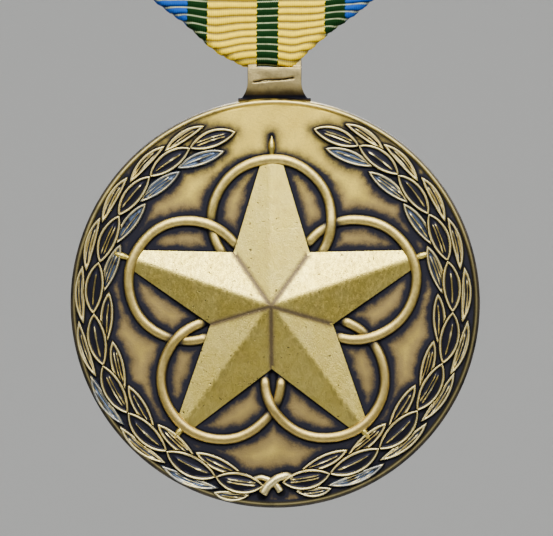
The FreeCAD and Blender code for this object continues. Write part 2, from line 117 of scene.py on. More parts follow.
def tube(path, radius, sides=12):
    # a closed round bar along a path of points, with a radius at each of them
    path = np.asarray(path, float)
    radius = np.broadcast_to(radius, len(path))
    along = np.gradient(path, axis=0)
    along /= np.linalg.norm(along, axis=1)[:, None]
    side = np.cross(along[0], (0.31, 0.77, 0.55))
    rows = []
    for spot, direction, reach in zip(path, along, radius):
        side = side - direction * side.dot(direction)
        side /= np.linalg.norm(side)
        other = np.cross(direction, side)
        turn = np.linspace(0, 2 * math.pi, sides, endpoint=False)[:, None]
        rows.append(spot + reach * (np.cos(turn) * side + np.sin(turn) * other))
    points = np.concatenate(rows + [path[:1], path[-1:]])
    faces = gridFaces(len(path), sides, closeColumns=True)
    tail, head = len(path) * sides, len(path) * sides + 1
    last = (len(path) - 1) * sides
    for corner in range(sides):
        after = (corner + 1) % sides
        faces.append([after, corner, tail])
        faces.append([last + corner, last + after, head])
    return points, faces


# ---- where the medal's parts are

discLow, discHigh = [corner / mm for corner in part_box("medal_disc")]
discShape = {
    "radius": (discHigh.x - discLow.x) / 2,
    "fieldThick": 1.9,
    "rimRise": 0.28,
    "rimInner": 16.92,
    "beadWidths": (0, 0.06, 0.12, 0.18, 0.24, 0.30, 0.36, 0.42, 0.47, 0.51),     # outwards from rimInner
    "beadRises": (0, 0.10, 0.21, 0.27, 0.28, 0.25, 0.18, 0.06, -0.08, -0.26),
    "segments": 420,
    "fieldRings": 100,
    "backRings": 36,
}
discX = (discLow.x + discHigh.x) / 2
discZ = (discLow.z + discHigh.z) / 2
fieldBackY = discHigh.y - discShape["rimRise"]
fieldFrontY = fieldBackY - discShape["fieldThick"]
patternX = discX - 0.30     # the dies met slightly off the middle of the blank
patternZ = discZ - 0.11


def onFront(x, z, rise):
    # pattern coordinates to the frame; rise is counted outwards from the field
    return np.stack(np.broadcast_arrays(patternX + x, fieldFrontY - rise, patternZ + z), -1)


def onBack(x, z, rise):
    return np.stack(np.broadcast_arrays(discX - x, fieldBackY + rise, discZ + z), -1)


def polar(bearing, radius):
    # bearings run clockwise from the top
    angle = np.radians(bearing)
    return radius * np.sin(angle), radius * np.cos(angle)


# ---- the star

starShape = {
    "armEnd": 12.95,         # the arms stop under the rings, and small spikes go on beyond
    "shoulder": 12.45,
    "shoulderHalf": 0.82,
    "notch": 5.50,
    "apexRise": 1.70,
    "ridgeRise": 0.32,
    "tipRise": 0.05,
    "notchRise": 0.45,
    "shoulderRise": 0.13,
    "apexX": -0.06,
    "apexZ": -0.16,
    "steps": 26,             # rows of mesh from an arm's ridge to its outline
    "tipSteps": 8,
    "ridgeSoft": 0.30,       # the ridges are rubbed round over this half width
    "facetSlope": 0.235,
}
spikeShape = {
    # distance from the middle, half width and rise along each spike
    "along": (12.55, 13.0, 13.35, 13.75, 14.05, 14.36),
    "half": (0.16, 0.24, 0.31, 0.27, 0.17, 0.03),
    "rise": (0.30, 0.34, 0.42, 0.38, 0.24, 0.06),
}


def armPoint(arm, along, across, rise):
    angle = math.radians(72 * arm)
    x = along * math.sin(angle) + across * math.cos(angle)
    z = along * math.cos(angle) - across * math.sin(angle)
    return np.array([x, z, rise])


def armCorners(arm, side):
    s = starShape
    apex = np.array([s["apexX"], s["apexZ"], s["apexRise"]])
    ridge = armPoint(arm, s["shoulder"], 0, s["ridgeRise"])
    shoulder = armPoint(arm, s["shoulder"], side * s["shoulderHalf"], s["shoulderRise"])
    angle = math.radians(36)
    notch = armPoint(arm, s["notch"] * math.cos(angle), side * s["notch"] * math.sin(angle), s["notchRise"])
    tip = armPoint(arm, s["armEnd"], 0, s["tipRise"])
    return apex, ridge, shoulder, notch, tip


def starOutline():
    corners = []
    for arm in range(5):
        for side in (-1, 1):
            shoulder, notch, tip = armCorners(arm, side)[2:]
            corners += [notch, shoulder, tip] if side < 0 else [shoulder]
    return np.array(corners)


def lineDistance(x, z, start, end):
    run = end - start
    share = ((x - start[0]) * run[0] + (z - start[1]) * run[1]) / (run[0] ** 2 + run[1] ** 2)
    share = np.clip(share, 0, 1)
    return np.hypot(x - start[0] - share * run[0], z - start[1] - share * run[1])


def starGap(x, z):
    outline = starOutline()
    gap = np.full(np.shape(x), 99.0)
    inside = np.zeros(np.shape(x), bool)
    for start, end in zip(outline, np.roll(outline, -1, axis=0)):
        gap = np.minimum(gap, lineDistance(x, z, start, end))
        crosses = (start[1] > z) != (end[1] > z)
        edgeX = start[0] + (z - start[1]) * (end[0] - start[0]) / (end[1] - start[1] + 1e-9)
        inside ^= crosses & (x < edgeX)
    gap = np.where(inside, 0, gap)
    for arm in range(5):
        foot, tip = armPoint(arm, spikeShape["along"][0], 0, 0), armPoint(arm, spikeShape["along"][-1], 0, 0)
        gap = np.minimum(gap, np.maximum(lineDistance(x, z, foot, tip) - 0.22, 0))
    return gap


def spikeShell(arm):
    # a small worn wedge: its section is an arch, widest a little way out
    along, half, rise = (np.array(spikeShape[part]) for part in ("along", "half", "rise"))
    fine = np.linspace(along[0], along[-1], 20)
    half, rise = np.interp(fine, along, half)[:, None], np.interp(fine, along, rise)[:, None]
    turn = np.linspace(0, math.pi, 13)[None, :]
    across = np.concatenate([half * np.cos(turn), -half, half], axis=1)
    height = np.concatenate([rise * np.sin(turn) ** 0.8, 0 * half - 0.2, 0 * half - 0.2], axis=1)
    angle = math.radians(72 * arm)
    x = fine[:, None] * math.sin(angle) + across * math.cos(angle)
    z = fine[:, None] * math.cos(angle) - across * math.sin(angle)
    columns = across.shape[1]
    faces = gridFaces(20, columns, closeColumns=True)
    faces += [list(range(columns)), [19 * columns + corner for corner in reversed(range(columns))]]
    foot = np.where(height > 0.06, 9.0, 0.0).ravel()
    return onFront(x.ravel(), z.ravel(), height.ravel()), faces, {"valley": 9.0, "foot": foot}


def rubRidge(points, apex, tip):
    # lowers what lies close to an arm's ridge, so that its two facets meet in a round
    soft = starShape["ridgeSoft"]
    near = np.clip(1 - lineDistance(points[:, 0], points[:, 1], apex, tip) / soft, 0, 1)
    points[:, 2] -= starShape["facetSlope"] * soft / 2 * near ** 2
    return points


def buildStar():
    steps = starShape["steps"]
    tipSteps = starShape["tipSteps"]
    shells = [spikeShell(arm) for arm in range(5)]
    rimPoints = []
    for arm in range(5):
        for side in (-1, 1):
            apex, ridge, shoulder, notch, tip = armCorners(arm, side)
            patches = (((apex, ridge, shoulder, notch), steps), ((ridge, tip, tip, shoulder), tipSteps))
            for corners, count in patches:
                u, v = np.meshgrid(np.linspace(0, 1, count), np.linspace(0, 1, steps) ** 1.6, indexing="ij")
                u, v = u[..., None], v[..., None]
                near = corners[0] * (1 - u) + corners[1] * u
                far = corners[3] * (1 - u) + corners[2] * u
                patch = rubRidge((near * (1 - v) + far * v).reshape(-1, 3), apex, tip)
                x, z, rise = patch.T
                shells.append((onFront(x, z, rise), gridFaces(count, steps), {
                    "valley": lineDistance(x, z, apex, notch),
                    "foot": np.minimum(lineDistance(x, z, notch, shoulder),
                                       lineDistance(x, z, shoulder, tip)),
                }))
            edge = [notch + (shoulder - notch) * t for t in np.linspace(0, 1, steps)]
            edge += [shoulder + (tip - shoulder) * t for t in np.linspace(0, 1, tipSteps)[1:]]
            edge = list(rubRidge(np.array(edge), apex, tip))
            rimPoints += edge if side < 0 else edge[::-1][1:]
    rim = np.array(rimPoints)
    rim = np.concatenate([rim[:1], rim[1:][np.linalg.norm(np.diff(rim, axis=0), axis=1) > 1e-6]])
    if np.linalg.norm(rim[0] - rim[-1]) < 1e-6:
        rim = rim[:-1]
    low = rim * (1.004, 1.004, 0) + (0, 0, -0.25)
    walls = np.concatenate([onFront(*rim.T), onFront(*low.T)])
    count = len(rim)
    faces = gridFaces(2, count, closeColumns=True)
    centre = onFront(np.zeros(1), np.zeros(1), np.full(1, -0.25))
    faces += [[count + corner, count + (corner + 1) % count, 2 * count] for corner in range(count)]
    masks = {"valley": 9.0, "foot": 0.0}
    shells.append((np.concatenate([walls, centre]), faces, masks))
    star = makeMesh("star", joinShells(shells), merge=0.004, sharp=14)
    rounding = star.modifiers.new("roundedEdges", "BEVEL")
    rounding.width = 0.12 * mm
    rounding.segments = 3
    rounding.limit_method = "ANGLE"
    rounding.angle_limit = math.radians(30)
    return star


# ---- the five interlaced rings

ringShape = {
    "centre": 7.51,
    "shiftX": 0.07,          # the ring pattern sits a little low and turned against the star
    "shiftZ": -0.25,
    "turned": -0.5,
    "radius": 5.11,
    "halfWidth": 0.445,
    "halfHeight": 0.40,
    "base": 0.04,
    "crossing": 95.8,        # from each arm's direction round to the neighbour's ring
    "segments": 220,
    "sides": 20,
}


def ringCentre(arm):
    x, z = polar(72 * arm + ringShape["turned"], ringShape["centre"])
    return x + ringShape["shiftX"], z + ringShape["shiftZ"]


def ringGap(x, z):
    gap = np.full(np.shape(x), 99.0)
    for arm in range(5):
        centreX, centreZ = ringCentre(arm)
        away = np.hypot(x - centreX, z - centreZ)
        gap = np.minimum(gap, np.abs(away - ringShape["radius"]) - ringShape["halfWidth"])
    return np.maximum(gap, 0)


def ringLift(turn):
    # over the star's tip and the next ring, under the ring before and the star's body
    crossing = ringShape["crossing"]
    lift = 0.10 * bell(turn, 0, 22) + 0.24 * bell(turn, crossing, 15) - 0.14 * bell(turn, -crossing, 13)
    return lift - 0.32 * smoothStep(121, 131, np.abs(turn))


def buildRings():
    shells = []
    turn = np.linspace(-180, 180, ringShape["segments"], endpoint=False)
    around = np.linspace(0, 2 * math.pi, ringShape["sides"], endpoint=False)
    for arm in range(5):
        centreX, centreZ = ringCentre(arm)
        wobble = 0.03 * np.sin(np.radians(turn * 3 + 70 * arm))
        wobble += 0.015 * np.sin(np.radians(turn * 7 + 31 * arm))
        reach = ringShape["radius"] + np.cos(around)[None, :] * ringShape["halfWidth"] + wobble[:, None]
        x, z = polar(72 * arm + turn[:, None], reach)
        squared = np.sign(np.sin(around)) * np.abs(np.sin(around)) ** 0.85
        rise = ringShape["base"] + ringLift(turn)[:, None] + ringShape["halfHeight"] * squared[None, :]
        points = onFront(centreX + x, centreZ + z, rise).reshape(-1, 3)
        under = np.broadcast_to(bell(turn, -ringShape["crossing"], 8.5)[:, None], rise.shape)
        under = np.maximum(under, smoothStep(123, 130, np.abs(turn))[:, None] * 0.8)
        over = np.broadcast_to(bell(turn, ringShape["crossing"], 9)[:, None], rise.shape)
        height = rise - 0.18 * over
        shells.append((points, gridFaces(len(turn), len(around), True, True), {
            "rise": height.ravel(), "under": under.ravel()}))
    return makeMesh("annulets", joinShells(shells))


# ---- the laurel wreath

wreathShape = {
    # each branch has its own centre, first tip and spacing of leaves
    "branches": {
        -1: {"shiftX": 0.02, "shiftZ": -0.24, "first": 11.6, "spacing": 15.30, "growth": 0.15},
        1: {"shiftX": 0.20, "shiftZ": 0.06, "first": 12.6, "spacing": 15.25, "growth": 0.145},
    },
    "leavesEach": 10,
    "centreRadius": 15.22,
    "outerRadius": (16.50, 0.10, -0.50),     # along a leaf: start, slope and bend
    "innerRadius": (13.92, 0.20, 0.25),
    "centreHalf": (0.80, 0.93),              # first leaf's and last leaf's
    "outerHalf": 0.50,
    "innerHalf": 0.62,
    # an outer tip follows its centre tip by lead * share ** leaf + least
    "outerLead": (8.4, 0.74, 0.3),
    "innerFirst": {-1: 16.8, 1: 18.2},
    "innerSpacing": 16.9,
    "innerSheen": (0.9, 1.0, 0.6, 0.5),      # painted pale sheen on the first inner leaves of a branch
    "innerSheenShare": {-1: 1.0, 1: 0.5},
    "across": 33,
    "alongSteps": 32,
}
leafForms = {
    # blade and outline heights over the field, then the midrib's
    "centre": {"blade": 0.20, "outline": 0.52, "rib": 0.15},
    "outer": {"blade": 0.10, "outline": 0.36, "rib": 0.13},
    "inner": {"blade": 0.10, "outline": 0.35, "rib": 0.13},
}


def leafList():
    # two branches, each a chain of centre leaves with one tucked under on either side
    chance = np.random.default_rng(7)
    leaves = []
    w = wreathShape
    for side, branch in w["branches"].items():
        tips = [branch["first"] + branch["spacing"] * leaf + branch["growth"] * leaf ** 2
                for leaf in range(w["leavesEach"] + 1)]
        tips[-1] = 177.0
        for leaf in range(w["leavesEach"]):
            stray = chance.normal(0, 1, 6)
            along = leaf / (w["leavesEach"] - 1)
            half = w["centreHalf"][0] * (1 - along) + w["centreHalf"][1] * along
            leaves.append({
                "kind": "centre", "side": side, "number": leaf,
                "tip": tips[leaf], "base": tips[leaf + 1] + 0.5,
                "radius": (w["centreRadius"] + 0.04 * stray[0], 0.0, 0.0),
                "half": half * (1 + 0.03 * stray[1]), "silverSheen": 0.0, "ribs": 1 + (leaf * 7 % 3 == 0)})
            lead, share, least = w["outerLead"]
            outer = tips[leaf] + lead * share ** leaf + least + 0.3 * stray[2]
            last = leaf == w["leavesEach"] - 1
            nextOuter = outer + 11.0 if last else tips[leaf + 1] + lead * share ** (leaf + 1) + least + 1.4
            start, slope, bend = w["outerRadius"]
            leaves.append({
                "kind": "outer", "side": side, "number": leaf, "tip": outer, "base": nextOuter,
                "radius": (start + 0.04 * stray[3], slope, bend), "half": w["outerHalf"],
                "silverSheen": 1.0 if leaf in ((6, 8) if side < 0 else (8,)) else 0.25 * along, "ribs": 2})
            if not last:
                inner = w["innerFirst"][side] + w["innerSpacing"] * leaf + 0.3 * stray[4]
                start, slope, bend = w["innerRadius"]
                sheen = w["innerSheen"][leaf] if leaf < len(w["innerSheen"]) else 0.0
                leaves.append({
                    "kind": "inner", "side": side, "number": leaf,
                    "tip": inner, "base": inner + w["innerSpacing"] + 1.0,
                    "radius": (start + 0.05 * stray[5], slope, bend), "half": w["innerHalf"],
                    "silverSheen": sheen * w["innerSheenShare"][side], "ribs": 1 + (leaf % 2)})
    return leaves


leaves = leafList()


def leafHalf(leaf, share):
    return leaf["half"] * np.clip(4 * share * (1 - share), 0, 1) ** 0.80


def leafRadius(leaf, share):
    start, slope, bend = leaf["radius"]
    return start + slope * share + bend * share ** 2


def leafPolar(leaf, x, z):
    # where a point lies on a leaf: share of its length, and distance from its middle line
    branch = wreathShape["branches"][leaf["side"]]
    offX, offZ = x - branch["shiftX"], z - branch["shiftZ"]
    share = (np.degrees(np.arctan2(offX, offZ)) * leaf["side"] - leaf["tip"]) / (leaf["base"] - leaf["tip"])
    return share, np.hypot(offX, offZ)


def leafGap(leaf, x, z):
    share, reach = leafPolar(leaf, x, z)
    inside = np.clip(share, 0, 1)
    across = np.maximum(np.abs(reach - leafRadius(leaf, inside)) - leafHalf(leaf, inside), 0)
    beyond = np.abs(share - inside) * math.radians(leaf["base"] - leaf["tip"]) * reach
    return np.hypot(across, beyond)


def wreathGap(x, z):
    gap = np.full(np.shape(x), 99.0)
    for leaf in leaves:
        gap = np.minimum(gap, leafGap(leaf, x, z))
    return gap


def isHidden(leaf, x, z):
    # True where another leaf lies over this one
    hidden = np.zeros(np.shape(x), bool)
    for other in leaves:
        near = other["side"] == leaf["side"] and abs(other["tip"] - leaf["tip"]) < 22
        above = other["kind"] == "centre" and leaf["kind"] != "centre"
        above = above or (other["kind"] == leaf["kind"] and other["number"] == leaf["number"] + 1)
        if near and above:
            hidden |= leafGap(other, x, z) < 0.02
    return hidden


def leafRise(form, half, inward, across, share, ribs, seed):
    # a leaf's relief: a raised outline round a sunk blade with one or two short midribs
    outline = np.exp(-(np.abs(inward - 0.15) / 0.125) ** 3)
    outline = np.maximum(outline, (inward > 0.15) * (half < 0.25) * 1.0)
    rise = form["blade"] + 0.10 * np.clip(inward, 0, 0.9)
    window = smoothStep(0.20, 0.30, share) * (1 - smoothStep(0.76, 0.88, share))
    ribLines = np.zeros_like(rise)
    for number in range(ribs):
        offset = (number - (ribs - 1) / 2) * 0.24 + 0.06 * math.sin(seed)
        slant = 0.16 * (share - 0.5) * math.cos(seed * 1.7)
        ribLines = np.maximum(ribLines, bell(across, offset + slant, 0.06) * window)
    rise = rise + form["rib"] * ribLines * (1 - outline)
    rise = rise * (1 - outline) + form["outline"] * outline
    edge = smoothStep(0.0, 0.09, inward)
    worn = np.maximum(outline, 0.8 * ribLines)
    return rise * (0.30 + 0.70 * edge), worn * (0.25 + 0.75 * edge)


def leafShell(leaf, place, number):
    rows, columns = wreathShape["alongSteps"], wreathShape["across"]
    share = (1 - np.cos(np.linspace(0, math.pi, rows)))[:, None] / 2
    share = 0.5 * share + 0.5 * np.linspace(0, 1, rows)[:, None]
    across = np.sin(np.linspace(-0.5, 0.5, columns) * math.pi)[None, :]
    half = np.maximum(leafHalf(leaf, share), 0.004)
    inward = (1 - np.abs(across)) * half + 0.4 * np.clip(0.03 - np.minimum(share, 1 - share), 0, 1)
    form = leafForms[leaf["kind"]]
    rise, worn = leafRise(form, half, inward, across * half, share, leaf["ribs"], number * 1.3)
    rise = rise + 0.07 * (1 - share) ** 2 - 0.06 * share ** 2
    x, z = place(leaf, share, across * half)
    if leaf in leaves:
        hidden = isHidden(leaf, x, z)
        rise = np.where(hidden, np.minimum(rise, 0.02), rise)
        worn = np.where(hidden, 0, worn)
    foot = np.full((rows, 1), -0.15)
    outX = np.concatenate([x[:, :1], x, x[:, -1:]], axis=1)
    outZ = np.concatenate([z[:, :1], z, z[:, -1:]], axis=1)
    outRise = np.concatenate([foot, rise, foot], axis=1)
    outWorn = np.concatenate([foot * 0, worn, foot * 0], axis=1)
    faces = gridFaces(rows, columns + 2, closeColumns=True)
    last = (rows - 1) * (columns + 2)
    faces.append(list(range(columns + 2)))
    faces.append([last + corner for corner in reversed(range(columns + 2))])
    masks = {"worn": outWorn.ravel(), "silverSheen": np.full(outWorn.size, float(leaf["silverSheen"]))}
    return outX.ravel(), outZ.ravel(), outRise.ravel(), faces, masks


def wreathPlace(leaf, share, across):
    bearing = leaf["side"] * (leaf["tip"] + (leaf["base"] - leaf["tip"]) * share)
    x, z = polar(bearing, leafRadius(leaf, share) + across)
    branch = wreathShape["branches"][leaf["side"]]
    return x + branch["shiftX"], z + branch["shiftZ"]


stemShape = {
    # the two cut stems cross at the bottom, one lying over the other
    "under": {"points": [(-1.6, -14.9), (-0.9, -14.72), (-0.2, -14.95), (0.42, -15.4), (0.80, -16.0)],
              "thick": 0.31, "rise": 0.10},
    "over": {"points": [(1.9, -14.75), (1.24, -14.54), (0.42, -14.81), (-0.38, -15.47), (-0.80, -16.2)],
             "thick": 0.39, "rise": 0.36},
}


def stemGap(x, z):
    gap = np.full(np.shape(x), 9.0)
    for stem in stemShape.values():
        corners = np.array(stem["points"])
        for start, end in zip(corners[:-1], corners[1:]):
            gap = np.minimum(gap, lineDistance(x, z, start, end) - stem["thick"])
    return gap


def stemShell(stem):
    corners = np.array(stem["points"])
    fine = np.linspace(0, len(corners) - 1, 40)
    kernel = np.array([1, 2, 3, 4, 3, 2, 1]) / 16
    x, z = (np.convolve(np.pad(np.interp(fine, np.arange(len(corners)), corners[:, part]), 3, mode="edge"),
                        kernel, "valid") for part in (0, 1))
    along = np.linspace(0, 1, 40)
    ends = np.sqrt(np.clip(1 - ((along - 0.5) / 0.505) ** 30, 0.05, 1))
    thick = stem["thick"] * (0.72 + 0.33 * along) * ends
    points, faces = tube(onFront(x, z, stem["rise"] * smoothStep(0, 0.5, along)), thick, 14)
    worn = smoothStep(fieldFrontY - 0.15, fieldFrontY - 0.5, points[:, 1])
    return points, faces, {"worn": 0.35 + 0.65 * worn, "silverSheen": 0.0}


def buildWreath():
    shells = []
    for number, leaf in enumerate(leaves):
        x, z, rise, faces, masks = leafShell(leaf, wreathPlace, number)
        shells.append((onFront(x, z, rise), faces, masks))
    shells += [stemShell(stem) for stem in stemShape.values()]
    return makeMesh("laurelWreath", joinShells(shells), merge=0.002, sharp=50)


# ---- the back's ornament: one upright sprig

sprigShape = {"length": 17.0, "lowest": -9.0, "leafLength": 4.6, "leafHalf": 0.95, "pairs": 5}


def sprigLeaves():
    s = sprigShape
    found = []
    for pair in range(s["pairs"]):
        for side in (-1, 1):
            found.append({
                "kind": "outer", "half": s["leafHalf"], "silverSheen": 0.0, "ribs": 1,
                "root": (0.15 * side, s["lowest"] + 2.6 + pair * 2.75), "heading": side * 38.0})
    found.append({"kind": "outer", "half": s["leafHalf"], "silverSheen": 0.0, "ribs": 1,
                  "root": (0.0, s["lowest"] + s["length"] - 1.2), "heading": 0.0})
    return found


def sprigPlace(leaf, share, across):
    heading = math.radians(leaf["heading"])
    along = (1 - share) * sprigShape["leafLength"]
    x = leaf["root"][0] + along * math.sin(heading) + across * math.cos(heading)
    z = leaf["root"][1] + along * math.cos(heading) - across * math.sin(heading)
    return x, z


def sprigGap(x, z):
    s = sprigShape
    gap = lineDistance(x, z, np.array([0, s["lowest"]]), np.array([0, s["lowest"] + s["length"]])) - 0.25
    for leaf in sprigLeaves():
        heading = math.radians(leaf["heading"])
        offX, offZ = x - leaf["root"][0], z - leaf["root"][1]
        along = offX * math.sin(heading) + offZ * math.cos(heading)
        across = np.abs(offX * math.cos(heading) - offZ * math.sin(heading))
        share = along / s["leafLength"]
        inside = np.clip(share, 0, 1)
        beyond = np.abs(share - inside) * s["leafLength"]
        gap = np.minimum(gap, np.hypot(np.maximum(across - leafHalf(leaf, inside), 0), beyond))
    return np.maximum(gap, 0)


def buildSprig():
    shells = []
    for number, leaf in enumerate(sprigLeaves()):
        x, z, rise, faces, masks = leafShell(leaf, sprigPlace, number + 3)
        shells.append((onBack(x, z, rise), faces, masks))
    s = sprigShape
    z = np.linspace(s["lowest"], s["lowest"] + s["length"], 50)
    points, faces = tube(onBack(0.12 * np.sin(z * 0.6), z, 0.05), np.linspace(0.30, 0.14, 50), 12)
    shells.append((points, faces, {"worn": 0.7, "silverSheen": 0.0}))
    return makeMesh("reverseSprig", joinShells(shells), merge=0.002, sharp=50)


# ---- the struck blank: field, rim and edge


def buildBlank():
    s = discShape
    radius, rimInner = s["radius"], s["rimInner"]
    frontRadii = np.linspace(0.6, rimInner - 0.05, s["fieldRings"])
    beadRadii = rimInner + np.array(s["beadWidths"])
    beadRise = np.array(s["beadRises"])
    backRadii = np.linspace(rimInner - 0.05, 0.6, s["backRings"])
    radii = np.concatenate([frontRadii, beadRadii, [radius, radius, radius], beadRadii[::-1], backRadii])
    frontRows, beadRows = len(frontRadii), len(beadRadii)
    y = np.concatenate([
        np.full(frontRows, fieldFrontY), fieldFrontY - beadRise,
        [fieldFrontY + 0.5, (fieldFrontY + fieldBackY) / 2, fieldBackY - 0.5],
        fieldBackY + beadRise[::-1], np.full(len(backRadii), fieldBackY)])
    bearing = np.linspace(0, 360, s["segments"], endpoint=False)
    x, z = polar(bearing[None, :], radii[:, None])
    rows = len(radii)
    onFace = np.arange(rows) < frontRows + beadRows
    swell = 0.012 * np.sin(x * 0.9 + 1.3) * np.cos(z * 0.8 + 0.4) + 0.006 * np.sin(x * 2.3 - z * 1.9)
    depth = y[:, None] + swell * (np.arange(rows) < frontRows)[:, None]
    points = np.stack([discX + x, np.broadcast_to(depth, x.shape), discZ + z], -1).reshape(-1, 3)
    patX, patZ = x + discX - patternX, z + discZ - patternZ
    frontGap = np.minimum(np.minimum(starGap(patX, patZ), ringGap(patX, patZ)), wreathGap(patX, patZ))
    frontGap = np.minimum(frontGap, stemGap(patX, patZ))
    backGap = sprigGap(-x, z)
    gap = np.where(onFace[:, None], frontGap, backGap)
    # at the top the field runs into the rim with no dark line between
    fromTop = (bearing + 180) % 360 - 180
    rimGap = np.maximum(rimInner - radii, 0)[:, None] * 2.5 + 2.0 * bell(fromTop, 0, 15)[None, :]
    gap = np.minimum(gap, rimGap)
    edge = smoothStep(rimInner + 0.28, rimInner + 0.40, radii)
    worn = bell(radii, rimInner + 0.21, 0.12)[:, None] + 0 * x
    centres = np.array([[discX, fieldFrontY, discZ], [discX, fieldBackY, discZ]])
    count = s["segments"]
    faces = gridFaces(rows, count, closeColumns=True)
    front, back = rows * count, rows * count + 1
    for corner in range(count):
        after = (corner + 1) % count
        faces.append([after, corner, front])
        faces.append([(rows - 1) * count + corner, (rows - 1) * count + after, back])
    masks = {
        "gap": np.append(gap.ravel(), [0, 3]),
        "worn": np.append(worn.ravel(), [0, 0]),
        "edge": np.append((edge[:, None] + 0 * x).ravel(), [0, 0])}
    return makeMesh("medalBlank", (np.concatenate([points, centres]), faces, masks))


# ---- the ribbon: one ribbed strip, folded double, its corners tucked in between the layers

ribbonLow, ribbonHigh = [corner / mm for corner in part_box("ribbon_head")]
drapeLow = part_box("ribbon_drape")[0] / mm
ribbonShape = {
    "width": ribbonHigh.x - ribbonLow.x,
    "thick": 0.33,
    "ribPitch": 0.61,
    "ribDepth": 0.115,
    "rowsPerRib": 4,
    "columns": 96,
    "layerHalf": 0.225,      # half the distance between the two layers' middles
    "tuckedHalf": 0.60,      # the same where the corners are tucked in
    "barHalf": 0.755,        # the same round the loop's bar
    "foldRadius": 0.19,
    "creaseHalf": 1.42,
    "vSlope": 0.70,
    "shiftX": -0.68,         # the lower end hangs slightly to one side of the loop
    # soft swellings of the folded edges: place across, width, and how far up or down
    "swells": ((-4.3, 1.9, -0.50), (2.2, 0.9, -0.26), (1.2, 0.9, -0.10), (5.9, 1.5, 0.26),
               (-8.6, 1.8, -0.18), (9.2, 2.0, 0.25)),
    "smile": 0.010,          # the ribs sag towards the middle
    "squeeze": -0.30,        # the right half is pushed together near the loop
}
hangY = jointPlace["loop_swing"].y
barZ = jointPlace["loop_swing"].z
flexZ = jointPlace["ribbon_bend"].z
creaseZ = drapeLow.z
ribbonTop = ribbonHigh.z


def layerSpread(z):
    s = ribbonShape
    tucked = smoothStep(creaseZ + 16.5, creaseZ + 11.5, z)
    spread = s["layerHalf"] + (s["tuckedHalf"] - s["layerHalf"]) * tucked
    return spread + (s["barHalf"] - s["tuckedHalf"]) * smoothStep(barZ + 3.0, barZ + 0.4, z)


def stripProfile():
    # middle line of the strip seen from the side, from the tail on the back of the plate to the
    # end tucked in behind the front layer: rows of (y or None, z, side factor, length so far)
    s = ribbonShape
    step = s["ribPitch"] / s["rowsPerRib"]
    frontY = hangY - s["layerHalf"]
    backY = ribbonHigh.y - 0.225
    topZ = ribbonTop - 0.225
    bend = 0.42
    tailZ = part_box("tail_clamp")[0].z / mm + 0.42
    route = [(backY, tailZ), (backY, topZ - bend)]
    for angle in np.linspace(0, 90, 7)[1:]:
        route.append((backY - bend + bend * math.cos(math.radians(angle)),
                      topZ - bend + bend * math.sin(math.radians(angle))))
    for angle in np.linspace(90, 180, 7):
        route.append((frontY + bend + bend * math.cos(math.radians(angle)),
                      topZ - bend + bend * math.sin(math.radians(angle))))
    route.append((frontY, flexZ + 3))
    route = np.array(route)
    lengths = np.concatenate([[0], np.cumsum(np.hypot(*np.diff(route, axis=0).T))])
    rows = []
    along = 0.0
    while along < lengths[-1]:
        y, z = [np.interp(along, lengths, places) for places in route.T]
        rows.append((y, z, -1.0, 0.0, along))
        along += step
    headRows = len(rows)
    z = route[-1, 1] - (along - lengths[-1])
    while z > barZ:
        rows.append((0, z, -1.0, 0.0, along))
        z -= step
        along += step
    over = barZ - z
    halfTurn = math.pi * s["barHalf"]
    turned = over
    while turned < halfTurn:
        angle = turned / s["barHalf"] - math.pi / 2
        rows.append((0, barZ, math.sin(angle), math.cos(angle), along))
        turned += step
        along += step
    z = barZ + turned - halfTurn
    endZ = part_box("brooch_plate")[1].z / mm - 1.1
    while z < endZ:
        rows.append((0, z, 1.0, 0.0, along))
        z += step
        along += step
    return np.array(rows), headRows


def foldInside(x, z):
    # corners beyond the V's edges are folded back in: new place, and how far towards the middle
    s = ribbonShape
    slope = math.atan(s["vSlope"])
    outX, outZ = math.sin(slope), -math.cos(slope)
    side = np.sign(x)
    reach = np.abs(x)
    start = s["creaseHalf"] - 0.15
    beyond = (reach - start) * outX + (z - creaseZ) * outZ
    past = np.maximum(beyond, 0)
    footX, footZ = reach - outX * past, z - outZ * past
    angle = np.clip(past / s["foldRadius"], 0, math.pi)
    shift = s["foldRadius"] * np.sin(angle) - np.maximum(past - math.pi * s["foldRadius"], 0)
    inward = s["foldRadius"] * (1 - np.cos(angle))
    return side * (footX + outX * shift), footZ + outZ * shift, inward


